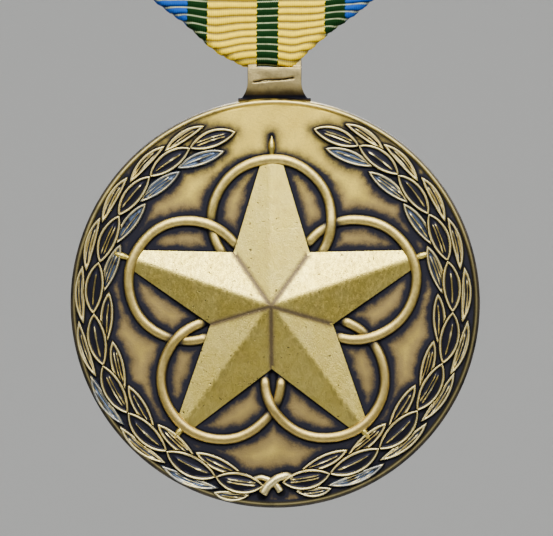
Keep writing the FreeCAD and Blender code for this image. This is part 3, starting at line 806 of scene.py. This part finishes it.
def buildRibbon():
    s = ribbonShape
    profile, headRows = stripProfile()
    across = np.linspace(-s["width"] / 2, s["width"] / 2, s["columns"])
    rows, columns = len(profile), s["columns"]
    x = np.broadcast_to(across[None, :], (rows, columns)).copy()
    profileY, profileZ, side, drop, along = [
        np.broadcast_to(part[:, None], (rows, columns)) for part in profile.T]
    planZ = profileZ - s["barHalf"] * drop
    foldedX, foldedZ, inward = foldInside(x, planZ)
    spread = layerSpread(foldedZ) - inward
    inHead = (np.arange(rows) < headRows)[:, None]
    y = np.where(inHead, profileY, hangY + side * spread)
    z = np.where(inHead, profileZ, foldedZ)
    x = np.where(inHead, x, foldedX)
    # the cloth isn't dead flat, and its lower end has slipped to one side of the loop
    low = smoothStep(creaseZ + 20, creaseZ + 3, z)
    slip = s["shiftX"] * low * (1 - 0.15 * np.abs(x) / 17.5)
    slip += s["squeeze"] * low * smoothStep(0.8, 5.0, x) * (1 - smoothStep(8, 17, x))
    aboveEdge = z - creaseZ - s["vSlope"] * np.maximum(np.abs(x) - s["creaseHalf"], 0)
    lower = 1 - smoothStep(0.2, 4.4, aboveEdge)
    for place, width, rise in s["swells"]:
        z = z + rise * bell(x, place, width) * lower * ~inHead
    z = z + s["smile"] * (np.abs(x) ** 1.6 - 12) * smoothStep(creaseZ + 0.6, creaseZ + 3, z) * (
        1 - smoothStep(creaseZ + 9, creaseZ + 17, z)) * ~inHead
    loose = smoothStep(creaseZ, creaseZ + 8, z) * (1 - smoothStep(flexZ - 2, flexZ + 2, z))
    y = y + 0.10 * np.sin(x * 0.33 + 0.8) * np.sin((z - creaseZ) * 0.21) * loose
    z = z + 0.06 * low * np.sin(x * 0.7 + 0.4) * smoothStep(creaseZ + 1.5, creaseZ + 4, z)
    middle = np.stack([x + slip, y, z], -1)
    alongRun = np.gradient(middle, axis=0)
    acrossRun = np.gradient(middle, axis=1)
    normal = np.cross(acrossRun, alongRun)
    normal /= np.maximum(np.linalg.norm(normal, axis=2, keepdims=True), 1e-9)
    rib = np.abs(np.sin(np.pi * along / s["ribPitch"])) ** 0.9
    fromEdge = s["width"] / 2 - np.abs(across)
    half = (s["thick"] / 2 + s["ribDepth"] * rib) * smoothStep(0, 0.4, fromEdge + 0.12)[None, :]
    half = half[..., None]
    faceA = (middle + normal * half).reshape(-1, 3)
    faceB = (middle - normal * half).reshape(-1, 3)
    count = rows * columns
    faces = gridFaces(rows, columns)
    faces += [[corner + count for corner in reversed(face)] for face in gridFaces(rows, columns)]
    for row in range(rows - 1):
        left, right = row * columns, row * columns + columns - 1
        faces.append([left, left + columns, left + columns + count, left + count])
        faces.append([right + columns, right, right + count, right + columns + count])
    for column in range(columns - 1):
        top, low = column, (rows - 1) * columns + column
        faces.append([top + 1, top, top + count, top + 1 + count])
        faces.append([low, low + 1, low + 1 + count, low + count])
    masks = {
        "across": np.tile(np.broadcast_to(across[None, :], (rows, columns)).ravel(), 2),
        "along": np.tile(along.ravel(), 2)}
    ribbon = makeMesh("ribbon", (np.concatenate([faceA, faceB]), faces, masks), merge=0.00001)
    length = (profile[-1, 4] - profile[0, 4]) * mm
    return ribbon, length


# ---- the suspension loop, worn and sculpted from the CAD one

loopShape = {
    "voxel": 0.055,
    "creaseFrom": (-1.75, 18.86),      # ends of the fold line, from the disc's middle
    "creaseTo": (1.55, 19.22),
    "creaseDeep": 0.16,
    "bulge": 0.13,
    "leanBack": 0.38,
    "shiftX": -0.06,
}


def buildLoop():
    s = loopShape
    source = frame["nodes"]["suspension_loop"]
    mesh = source.data.copy()
    rough = bpy.data.objects.new("roughLoop", mesh)
    bpy.context.collection.objects.link(rough)
    remesh = rough.modifiers.new("even", "REMESH")
    remesh.mode = "VOXEL"
    remesh.voxel_size = s["voxel"] * mm
    soften = rough.modifiers.new("soften", "SMOOTH")
    soften.factor = 0.5
    soften.iterations = 4
    even = bpy.data.meshes.new_from_object(rough.evaluated_get(bpy.context.evaluated_depsgraph_get()))
    bpy.data.objects.remove(rough)
    count = len(even.vertices)
    points = np.empty(count * 3)
    even.vertices.foreach_get("co", points)
    points = points.reshape(-1, 3) / mm
    x, y, z = points[:, 0] - discX, points[:, 1], points[:, 2] - discZ
    middleY = (points[:, 1].min() + points[:, 1].max()) / 2
    front = smoothStep(middleY + 0.3, middleY - 0.3, y) * (np.abs(x) < 4)
    below = smoothStep(19.1, 17.4, z)
    fromX, fromZ = s["creaseFrom"]
    toX, toZ = s["creaseTo"]
    line = lineDistance(x, z + 0.05 * np.sin(x * 2.1), np.array([fromX, fromZ]), np.array([toX, toZ]))
    y = y - front * s["bulge"] * bell(z, 19.9, 0.75) * bell(x, 0, 2.2)
    y = y + front * s["leanBack"] * below ** 1.4
    y = y + front * s["creaseDeep"] * np.exp(-(line / 0.075) ** 2)
    y = y + 0.02 * front * np.sin(x * 2.6 + z * 1.1) * np.sin(z * 3.1)
    points = np.stack([x + discX + s["shiftX"], y, z + discZ], -1)
    even.vertices.foreach_set("co", (points * mm).ravel())
    # painted shade: below darkens the loop's lower half, and foot paints a shadow band where the loop meets
    # the disc
    for name, values in (
            ("crease", np.exp(-(line / 0.085) ** 2) * front),
            ("below", smoothStep(18.9, 17.6, z)),
            ("foot", smoothStep(17.85, 17.65, z) * smoothStep(17.30, 17.42, z))):
        layer = even.attributes.new(name, "FLOAT", "POINT")
        layer.data.foreach_set("value", values.astype(np.float32))
    even.polygons.foreach_set("use_smooth", [True] * len(even.polygons))
    loop = bpy.data.objects.new("wornLoop", even)
    bpy.context.collection.objects.link(loop)
    return loop


# ---- materials


def newMaterial(name):
    material = bpy.data.materials.new(name)
    material.use_nodes = True
    tree = material.node_tree
    return material, tree, tree.nodes["Principled BSDF"]


def put(tree, kind, settings=None, **inputs):
    node = tree.nodes.new(kind)
    for name, value in (settings or {}).items():
        setattr(node, name, value)
    for name, value in inputs.items():
        socket = node.inputs[int(name[1:])] if name[0] == "i" and name[1:].isdigit() else node.inputs[name]
        if isinstance(value, bpy.types.NodeSocket):
            tree.links.new(value, socket)
        else:
            socket.default_value = value
    return node


def sums(tree, operation, first, second=0.0, third=0.0):
    inputs = {"i0": first, "i1": second}
    if operation in ("MULTIPLY_ADD", "COMPARE"):
        inputs["i2"] = third
    return put(tree, "ShaderNodeMath", {"operation": operation}, **inputs).outputs[0]


def ramp(tree, value, low, high, start=0.0, end=1.0):
    node = put(tree, "ShaderNodeMapRange", {"interpolation_type": "SMOOTHSTEP"},
               i0=value, i1=low, i2=high, i3=start, i4=end)
    return node.outputs[0]


def mixColour(tree, share, first, second, kind="MIX"):
    node = put(tree, "ShaderNodeMix", {"data_type": "RGBA", "blend_type": kind})
    for socket, value in ((node.inputs[0], share), (node.inputs[6], first), (node.inputs[7], second)):
        if isinstance(value, bpy.types.NodeSocket):
            tree.links.new(value, socket)
        else:
            socket.default_value = value if isinstance(value, float) else (*value, 1.0)
    return node.outputs[2]


def mask(tree, name):
    return put(tree, "ShaderNodeAttribute", {"attribute_name": name}).outputs["Fac"]


def grain(tree, perMillimetre, detail=3.0, roughness=0.55, stretch=(1, 1, 1)):
    place = put(tree, "ShaderNodeTexCoord").outputs["Object"]
    scaled = put(tree, "ShaderNodeMapping", Vector=place, Scale=[1000 * part for part in stretch]).outputs[0]
    return put(tree, "ShaderNodeTexNoise", Vector=scaled, Scale=perMillimetre, Detail=detail,
               Roughness=roughness).outputs[0]


def heightAbove(tree):
    place = put(tree, "ShaderNodeTexCoord").outputs["Object"]
    return put(tree, "ShaderNodeSeparateXYZ", Vector=place).outputs[2]


def addBump(tree, shader, height, depth, strength=1.0):
    node = put(tree, "ShaderNodeBump", Height=height, Distance=depth * mm, Strength=strength)
    tree.links.new(node.outputs[0], shader.inputs["Normal"])


def join(tree, shader, **values):
    names = {"colour": "Base Color", "rough": "Roughness", "metal": "Metallic"}
    shader.inputs["Specular IOR Level"].default_value = 0.15
    for name, value in values.items():
        socket = shader.inputs[names.get(name, name)]
        if isinstance(value, bpy.types.NodeSocket):
            tree.links.new(value, socket)
        else:
            socket.default_value = value


bronze = {
    "bright": (0.70, 0.53, 0.085),
    "warm": (0.62, 0.45, 0.065),
    "pale": (0.72, 0.59, 0.22),
    "brown": (0.21, 0.150, 0.060),
    "dull": (0.33, 0.235, 0.075),
    "patina": (0.010, 0.010, 0.016),
    "valley": (0.110, 0.080, 0.040),
    "blueSheen": (0.085, 0.120, 0.190),
    "sheenEdge": (0.24, 0.26, 0.28),
    "leafEdge": (0.70, 0.61, 0.33),
    "black": (0.003, 0.003, 0.005),
}


def fieldBronze():
    material, tree, shader = newMaterial("antiquedField")
    blotch = grain(tree, 0.9, 4.0)
    fine = grain(tree, 7.0, 3.0)
    gap = sums(tree, "ADD", mask(tree, "gap"), sums(tree, "MULTIPLY_ADD", blotch, 0.9, -0.45))
    gap = sums(tree, "ADD", gap, sums(tree, "MULTIPLY_ADD", fine, 0.30, -0.15))
    halo = ramp(tree, gap, 0.30, 1.00)
    height = heightAbove(tree)
    # painted highlight: the gold spreads further over the upper field, so the top of the disc looks lit from
    # above
    high = ramp(tree, height, (discZ + 7) * mm, (discZ + 14) * mm, 0.0, 0.95)
    rubbed = ramp(tree, sums(tree, "ADD", gap, high), 0.80, 2.25)
    gold = mixColour(tree, grain(tree, 0.35, 2.0), bronze["bright"], bronze["warm"])
    # painted shade: the gold is dulled towards the bottom, as if less light fell there
    low = ramp(tree, height, (discZ - 15) * mm, (discZ + 12) * mm, 1.0, 0.0)
    gold = mixColour(tree, sums(tree, "MULTIPLY", low, 0.6), gold, bronze["dull"])
    sandy = ramp(tree, grain(tree, 5.0, 4.0, 0.7), 0.42, 0.70, 0.0, 0.35)
    gold = mixColour(tree, sandy, gold, bronze["dull"])
    colour = mixColour(tree, halo, bronze["patina"], bronze["brown"])
    colour = mixColour(tree, rubbed, colour, gold)
    crease = ramp(tree, mask(tree, "gap"), 0.02, 0.16)
    colour = mixColour(tree, crease, bronze["black"], colour)
    worn = sums(tree, "MULTIPLY", mask(tree, "worn"), ramp(tree, blotch, 0.25, 0.5, 0.55, 1.0))
    # painted highlight: the pale rubbed bead of the rim is real wear, but it is faded towards the bottom so
    # that it shines most at the top
    worn = sums(tree, "MULTIPLY", worn, ramp(tree, height, (discZ + 2) * mm, (discZ + 16) * mm, 0.15, 1.0))
    colour = mixColour(tree, worn, colour, bronze["pale"])
    edge = sums(tree, "MULTIPLY", mask(tree, "edge"), ramp(tree, blotch, 0.35, 0.65))
    colour = mixColour(tree, edge, colour, (0.055, 0.042, 0.026))
    shine = sums(tree, "MAXIMUM", halo, worn)
    polish = sums(tree, "ADD", shine, sums(tree, "MULTIPLY", fine, 0.4))
    join(tree, shader, colour=colour, rough=ramp(tree, polish, 0.0, 1.3, 0.62, 0.50),
         metal=ramp(tree, shine, 0.0, 0.6, 0.55, 1.0))
    height = sums(tree, "ADD", fine, sums(tree, "MULTIPLY", grain(tree, 22.0, 2.0), 0.5))
    addBump(tree, shader, height, 0.012)
    return material


def starBronze():
    material, tree, shader = newMaterial("rubbedStar")
    blotch = grain(tree, 0.5, 4.0)
    fine = grain(tree, 9.0, 3.0)
    colour = mixColour(tree, ramp(tree, blotch, 0.3, 0.7), (0.56, 0.44, 0.085), (0.64, 0.52, 0.13))
    mottle = ramp(tree, grain(tree, 4.5, 5.0, 0.7, stretch=(1, 1, 0.45)), 0.35, 0.75)
    colour = mixColour(tree, sums(tree, "MULTIPLY", mottle, 0.42), colour, bronze["dull"])
    grime = ramp(tree, grain(tree, 0.9, 5.0, 0.7), 0.45, 0.75, 0.0, 0.35)
    colour = mixColour(tree, grime, colour, bronze["dull"])
    specks = ramp(tree, grain(tree, 2.9, 2.0), 0.665, 0.72)
    colour = mixColour(tree, sums(tree, "MULTIPLY", specks, 0.8), colour, bronze["patina"])
    valley = sums(tree, "ADD", mask(tree, "valley"), sums(tree, "MULTIPLY_ADD", fine, 0.24, -0.12))
    valley = ramp(tree, valley, 0.04, 0.48)
    colour = mixColour(tree, valley, bronze["valley"], colour)
    foot = ramp(tree, mask(tree, "foot"), 0.0, 0.05)
    colour = mixColour(tree, foot, bronze["patina"], colour)
    rough = ramp(tree, sums(tree, "ADD", fine, mottle), 0.5, 1.5, 0.32, 0.48)
    join(tree, shader, colour=colour, rough=rough, metal=ramp(tree, valley, 0.0, 1.0, 0.7, 1.0))
    height = sums(tree, "MULTIPLY_ADD", specks, -0.6, sums(tree, "MULTIPLY_ADD", mottle, 0.5, fine))
    addBump(tree, shader, height, 0.014)
    return material


def ringBronze():
    material, tree, shader = newMaterial("rubbedRings")
    blotch = grain(tree, 0.8, 4.0)
    fine = grain(tree, 8.0, 3.0)
    level = sums(tree, "ADD", mask(tree, "rise"), sums(tree, "MULTIPLY_ADD", blotch, 0.16, -0.08))
    rubbed = ramp(tree, level, 0.12, 0.40)
    rubbed = sums(tree, "MULTIPLY", rubbed, ramp(tree, mask(tree, "under"), 0.15, 0.75, 1.0, 0.05))
    gold = mixColour(tree, blotch, bronze["pale"], bronze["bright"])
    dullness = ramp(tree, grain(tree, 3.0, 5.0, 0.7), 0.35, 0.70, 0.15, 0.75)
    gold = mixColour(tree, dullness, gold, bronze["dull"])
    height = heightAbove(tree)
    # painted shade: the rings' gold is dulled towards the bottom, as if less light fell there
    low = ramp(tree, height, (discZ - 10) * mm, (discZ + 10) * mm, 0.65, 0.10)
    gold = mixColour(tree, low, gold, bronze["dull"])
    colour = mixColour(tree, rubbed, bronze["patina"], gold)
    join(tree, shader, colour=colour, rough=ramp(tree, fine, 0.2, 0.8, 0.38, 0.50),
         metal=ramp(tree, rubbed, 0.0, 0.5, 0.6, 1.0))
    addBump(tree, shader, fine, 0.010)
    return material


def leafBronze():
    material, tree, shader = newMaterial("antiquedLaurel")
    blotch = grain(tree, 1.1, 4.0)
    fine = grain(tree, 10.0, 3.0)
    worn = sums(tree, "ADD", mask(tree, "worn"), sums(tree, "MULTIPLY_ADD", blotch, 0.7, -0.35))
    rubbed = ramp(tree, worn, 0.20, 0.70)
    # painted reflection: a silver-blue sheen on the blades of some leaves, with a silvery tint on their
    # outlines
    sheen = sums(tree, "MULTIPLY", mask(tree, "silverSheen"), ramp(tree, blotch, 0.30, 0.55))
    blade = mixColour(tree, sheen, bronze["patina"], bronze["blueSheen"])
    edge = mixColour(tree, blotch, bronze["leafEdge"], bronze["pale"])
    edge = mixColour(tree, sums(tree, "MULTIPLY", sheen, 0.85), edge, bronze["sheenEdge"])
    colour = mixColour(tree, rubbed, blade, edge)
    join(tree, shader, colour=colour, rough=ramp(tree, fine, 0.2, 0.8, 0.32, 0.48),
         metal=ramp(tree, rubbed, 0.0, 0.6, 0.7, 1.0))
    addBump(tree, shader, fine, 0.010)
    return material


def loopBronze():
    material, tree, shader = newMaterial("wornLoopBronze")
    blotch = grain(tree, 0.9, 4.0)
    fine = grain(tree, 9.0, 3.0)
    # painted shade: the lower half of the loop is darkened, as if turned away from the light
    low = sums(tree, "ADD", mask(tree, "below"), sums(tree, "MULTIPLY_ADD", blotch, 0.5, -0.25))
    low = ramp(tree, low, 0.15, 1.0)
    colour = mixColour(tree, blotch, (0.46, 0.37, 0.165), (0.34, 0.26, 0.10))
    mottle = ramp(tree, grain(tree, 2.6, 6.0, 0.7), 0.42, 0.72, 0.0, 0.6)
    colour = mixColour(tree, mottle, colour, (0.20, 0.155, 0.075))
    colour = mixColour(tree, low, colour, (0.055, 0.040, 0.018))
    colour = mixColour(tree, mask(tree, "crease"), colour, bronze["black"])
    # painted shadow: a dark band across the foot, where the loop meets the disc's edge
    colour = mixColour(tree, mask(tree, "foot"), colour, bronze["patina"])
    join(tree, shader, colour=colour, rough=ramp(tree, fine, 0.25, 0.75, 0.42, 0.56), metal=1.0)
    addBump(tree, shader, fine, 0.014)
    return material


def plainMetal(name, colour, dark, rough, scratch=(1, 1, 1), spread=(0.25, 0.75)):
    material, tree, shader = newMaterial(name)
    blotch = grain(tree, 0.7, 5.0)
    fine = grain(tree, 9.0, 3.0, stretch=scratch)
    shade = mixColour(tree, ramp(tree, blotch, *spread), dark, colour)
    join(tree, shader, colour=shade, rough=ramp(tree, fine, 0.25, 0.75, rough - 0.08, rough + 0.1), metal=1.0)
    addBump(tree, shader, fine, 0.008)
    return material


cloth = {
    "yellow": (0.90, 0.63, 0.0),
    "yellowGrooveShade": (0.105, 0.055, 0.003),
    "green": (0.0022, 0.018, 0.0026),
    "blue": (0.006, 0.060, 0.30),
    "blueGrooveShade": (0.002, 0.012, 0.06),
    "weft": (0.62, 0.68, 0.36),
    "centreGreenHalf": 0.93,
    "yellowEnd": 5.13,
    "greenEnd": 6.88,
}


def ribbonCloth():
    material, tree, shader = newMaterial("ribbedRibbon")
    across = mask(tree, "across")
    along = mask(tree, "along")
    thread = grain(tree, 3.0, 2.0)
    # the stripes' edges step in and out with each rib
    steps = sums(tree, "SINE", sums(tree, "MULTIPLY", along, 4 * math.pi / ribbonShape["ribPitch"]))
    jag = sums(tree, "MULTIPLY", steps, 0.035)
    off = sums(tree, "ADD", sums(tree, "ABSOLUTE", across), jag)
    centre = ramp(tree, off, cloth["centreGreenHalf"] - 0.03, cloth["centreGreenHalf"] + 0.03)
    sideGreen = ramp(tree, off, cloth["yellowEnd"] - 0.03, cloth["yellowEnd"] + 0.03)
    blue = ramp(tree, off, cloth["greenEnd"] - 0.03, cloth["greenEnd"] + 0.03)
    colour = mixColour(tree, centre, cloth["green"], cloth["yellow"])
    colour = mixColour(tree, sideGreen, colour, cloth["green"])
    colour = mixColour(tree, blue, colour, cloth["blue"])
    isYellow = sums(tree, "MULTIPLY", centre, sums(tree, "SUBTRACT", 1.0, sideGreen))
    # a rib's place from 0 in one groove to 1 in the next
    rib = sums(tree, "FRACT", sums(tree, "MULTIPLY", along, 1 / ribbonShape["ribPitch"]))
    groove = sums(tree, "ABSOLUTE", sums(tree, "SUBTRACT", rib, 0.5))
    # painted shade: each groove between the ribs is darkened, deep brown on the yellow and dark navy on the
    # blue
    grooveShade = ramp(tree, groove, 0.14, 0.44)
    grooveShadeOnYellow = sums(tree, "MULTIPLY", sums(tree, "MULTIPLY", grooveShade, isYellow), 0.9)
    colour = mixColour(tree, grooveShadeOnYellow, colour, cloth["yellowGrooveShade"])
    colour = mixColour(tree, sums(tree, "MULTIPLY", grooveShade, blue), colour, cloth["blueGrooveShade"])
    # warp threads: fine upright lines, and the pale weft that shows between them in each groove
    warp = sums(tree, "SINE", sums(tree, "MULTIPLY", across, 2 * math.pi / 0.17))
    wave = sums(tree, "MULTIPLY_ADD", warp, 0.055, 0.0)
    lineAt = sums(tree, "ABSOLUTE", sums(tree, "ADD", sums(tree, "SUBTRACT", rib, 0.10), wave))
    weft = ramp(tree, lineAt, 0.04, 0.11, 1.0, 0.0)
    weft = sums(tree, "MULTIPLY", weft, ramp(tree, thread, 0.2, 0.6, 0.55, 1.0))
    shown = sums(tree, "MULTIPLY_ADD", isYellow, -0.40, 0.55)
    colour = mixColour(tree, sums(tree, "MULTIPLY", weft, shown), colour, cloth["weft"])
    shade = ramp(tree, sums(tree, "ADD", sums(tree, "MULTIPLY", warp, 0.25), thread), 0.1, 0.9, 0.82, 1.08)
    grey = put(tree, "ShaderNodeCombineColor", i0=shade, i1=shade, i2=shade).outputs[0]
    colour = mixColour(tree, 1.0, colour, grey, "MULTIPLY")
    join(tree, shader, colour=colour, rough=0.8)
    shader.inputs["Specular IOR Level"].default_value = 0.05
    height = sums(tree, "ADD", sums(tree, "MULTIPLY", warp, 0.35), thread)
    addBump(tree, shader, height, 0.03, 0.7)
    return material


def threadCloth():
    material, tree, shader = newMaterial("sewingThread")
    fibre = grain(tree, 9.0, 3.0)
    join(tree, shader, colour=mixColour(tree, fibre, (0.42, 0.29, 0.06), (0.80, 0.62, 0.20)), rough=0.6)
    addBump(tree, shader, fibre, 0.03)
    return material


def paint(item, material):
    item.data.materials.clear()
    item.data.materials.append(material)


# ---- stitches


stitchShape = {
    "radius": 0.13,
    "seamCount": 12,
    "seamLength": 1.8,
    "crossLength": 1.9,
    "crossAngles": (40, 130),
    "turns": 5.5,            # how far the two plies wind, in radians, from a stitch's middle to its end
}


def stitchShells(middle, direction, length, radius):
    # a two-ply thread that rises out of the cloth, runs along it and dives back in
    direction = np.array(direction, float)
    share = np.linspace(-1, 1, 26)
    path = np.array(middle)[None, :] + direction[None, :] * (share[:, None] * length / 2)
    path[:, 1] -= (np.abs(share) ** 4) * radius * 2.2
    side = np.cross(direction, (0, 1, 0))
    shells = []
    for ply in (0, math.pi):
        turn = share * stitchShape["turns"] + ply
        twist = (np.cos(turn)[:, None] * side + np.sin(turn)[:, None] * np.array((0, 1, 0))) * radius * 0.42
        points, faces = tube(path + twist, radius * 0.62, 8)
        shells.append((points, faces, {}))
    return shells


def buildStitches(node):
    low, high = [np.array(corner / mm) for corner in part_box(node)]
    radius = stitchShape["radius"]
    shells = []
    if node == "seam_stitches":
        count, length = stitchShape["seamCount"], stitchShape["seamLength"]
        pitch = (high[0] - low[0] - length) / (count - 1)
        for number in range(count):
            middle = (low[0] + length / 2 + number * pitch, low[1] + radius * 0.2, (low[2] + high[2]) / 2)
            shells += stitchShells(middle, (1, 0, 0), length * 1.05, radius)
    else:
        middle = ((low[0] + high[0]) / 2, low[1] - 0.02, (low[2] + high[2]) / 2)
        for angle in stitchShape["crossAngles"]:
            direction = (math.cos(math.radians(angle)), 0, math.sin(math.radians(angle)))
            shells += stitchShells(middle, direction, stitchShape["crossLength"], radius)
    return makeMesh(node + "_thread", joinShells(shells))


# ---- build

print("building the medal")
blank = buildBlank()
paint(blank, fieldBronze())
star = buildStar()
paint(star, starBronze())
rings = buildRings()
paint(rings, ringBronze())
leafMetal = leafBronze()
wreath = buildWreath()
paint(wreath, leafMetal)
sprig = buildSprig()
paint(sprig, leafMetal)
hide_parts("medal_disc")
for piece in (blank, star, rings, wreath, sprig):
    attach(piece, "medal")
loop = buildLoop()
paint(loop, loopBronze())
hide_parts("suspension_loop")
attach(loop, "medal")

print("building the ribbon")
ribbon, stripLength = buildRibbon()
print(f"ribbon strip {ribbonShape['width']:.2f} mm by {stripLength / mm:.1f} mm")
paint(ribbon, ribbonCloth())
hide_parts("ribbon_head", "ribbon_drape")
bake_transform(ribbon)
thread = threadCloth()
stitches = []
for node in ("seam_stitches", "corner_stitch_left", "corner_stitch_right"):
    stitch = buildStitches(node)
    paint(stitch, thread)
    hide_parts(node)
    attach(stitch, "ribbon")
    stitches.append(stitch)

print("finishing the metal parts")
hardware = {
    "brooch_plate": (plainMetal("plateBrass", (0.62, 0.46, 0.16), (0.50, 0.36, 0.115), 0.34), 0.06),
    "tail_clamp": (plainMetal("clampBrass", (0.60, 0.45, 0.16), (0.48, 0.35, 0.12), 0.36), 0.06),
    "hinge_bracket": (plainMetal("bracketBrass", (0.64, 0.50, 0.22), (0.34, 0.25, 0.11), 0.32), 0.05),
    "hinge_rivet": (plainMetal("rivetBrass", (0.68, 0.55, 0.28), (0.40, 0.30, 0.14), 0.28), 0.04),
    "catch_base": (plainMetal("catchBrass", (0.64, 0.50, 0.22), (0.34, 0.25, 0.11), 0.32), 0.05),
    "catch_rotor": (plainMetal("rotorBrass", (0.68, 0.54, 0.26), (0.38, 0.28, 0.12), 0.28), 0.05),
    "pin_stem": (plainMetal("pinSteel", (0.62, 0.62, 0.60), (0.42, 0.41, 0.39), 0.26,
                            scratch=(0.15, 1, 1)), 0.02),
}
for node, (material, rounding) in hardware.items():
    item = frame["nodes"][node]
    paint(item, material)
    edges = item.modifiers.new("easedEdges", "BEVEL")
    edges.width = rounding * mm
    edges.segments = 2
    edges.limit_method = "ANGLE"
    edges.angle_limit = math.radians(35)

# ---- stage, light and camera

stageShape = {"floorZ": -420.0, "wallY": 1100.0, "reach": 4000.0}


def buildStage():
    s = stageShape
    bend = 250.0
    rows = [(-s["reach"], s["floorZ"])]
    for angle in np.linspace(0, 90, 13):
        rows.append((s["wallY"] - bend + bend * math.sin(math.radians(angle)),
                     s["floorZ"] + bend - bend * math.cos(math.radians(angle))))
    rows.append((s["wallY"], s["reach"]))
    points = [(x, y, z) for y, z in rows for x in (-s["reach"], s["reach"])]
    mesh = bpy.data.meshes.new("paleFloor")
    mesh.from_pydata([[part * mm for part in point] for point in points], [], gridFaces(len(rows), 2))
    mesh.polygons.foreach_set("use_smooth", [True] * len(mesh.polygons))
    floor = bpy.data.objects.new("paleFloor", mesh)
    bpy.context.collection.objects.link(floor)
    material, tree, shader = newMaterial("paleFloor")
    shader.inputs["Base Color"].default_value = (0.80, 0.80, 0.78, 1)
    shader.inputs["Roughness"].default_value = 0.8
    paint(floor, material)


lamps = {
    # direction seen from the medal in degrees (round from the front, and up), distance, size, watts
    "keySoftbox": {"round": 3, "up": 36, "away": 450, "size": (360, 150), "power": 4.2},
    "topSoftbox": {"round": 0, "up": 68, "away": 450, "size": (380, 240), "power": 2.4},
    "leftSoftbox": {"round": -38, "up": 18, "away": 450, "size": (120, 200), "power": 0.42},
    "rightSoftbox": {"round": 38, "up": 18, "away": 450, "size": (120, 200), "power": 0.50},
    "backSoftbox": {"round": 172, "up": 32, "away": 480, "size": (380, 240), "power": 4.0},
}


def addLamp(name, shape):
    lamp = bpy.data.lights.new(name, "AREA")
    lamp.shape = "RECTANGLE"
    lamp.size, lamp.size_y = shape["size"][0] * mm, shape["size"][1] * mm
    lamp.energy = shape["power"]
    turn, lift = math.radians(shape["round"]), math.radians(shape["up"])
    away = Vector((math.sin(turn) * math.cos(lift), -math.cos(turn) * math.cos(lift), math.sin(lift)))
    item = bpy.data.objects.new(name, lamp)
    item.location = (Vector((discX, hangY, discZ)) + away * shape["away"]) * mm
    item.rotation_euler = (-away).to_track_quat("-Z", "Y").to_euler()
    item.visible_camera = False
    bpy.context.collection.objects.link(item)


print("setting the stage")
buildStage()
for name, shape in lamps.items():
    addLamp(name, shape)
world = bpy.data.worlds.new("softRoom")
world.use_nodes = True
world.node_tree.nodes["Background"].inputs[0].default_value = (0.75, 0.77, 0.80, 1)
world.node_tree.nodes["Background"].inputs[1].default_value = 0.20
bpy.context.scene.world = world

view = {"distance": 420.0, "widthShown": 47.1, "middleX": 0.11, "middleZ": 2.99}
lens = bpy.data.cameras.new("camera")
lens.sensor_width = 36
lens.lens = 36 * view["distance"] / view["widthShown"]
lens.clip_start = 0.01
lens.clip_end = 20
camera = bpy.data.objects.new("camera", lens)
eye = Vector((discX + view["middleX"], fieldFrontY - view["distance"], discZ + view["middleZ"]))
camera.location = eye * mm
camera.rotation_euler = (math.radians(90), 0, 0)
bpy.context.collection.objects.link(camera)
bpy.context.scene.camera = camera
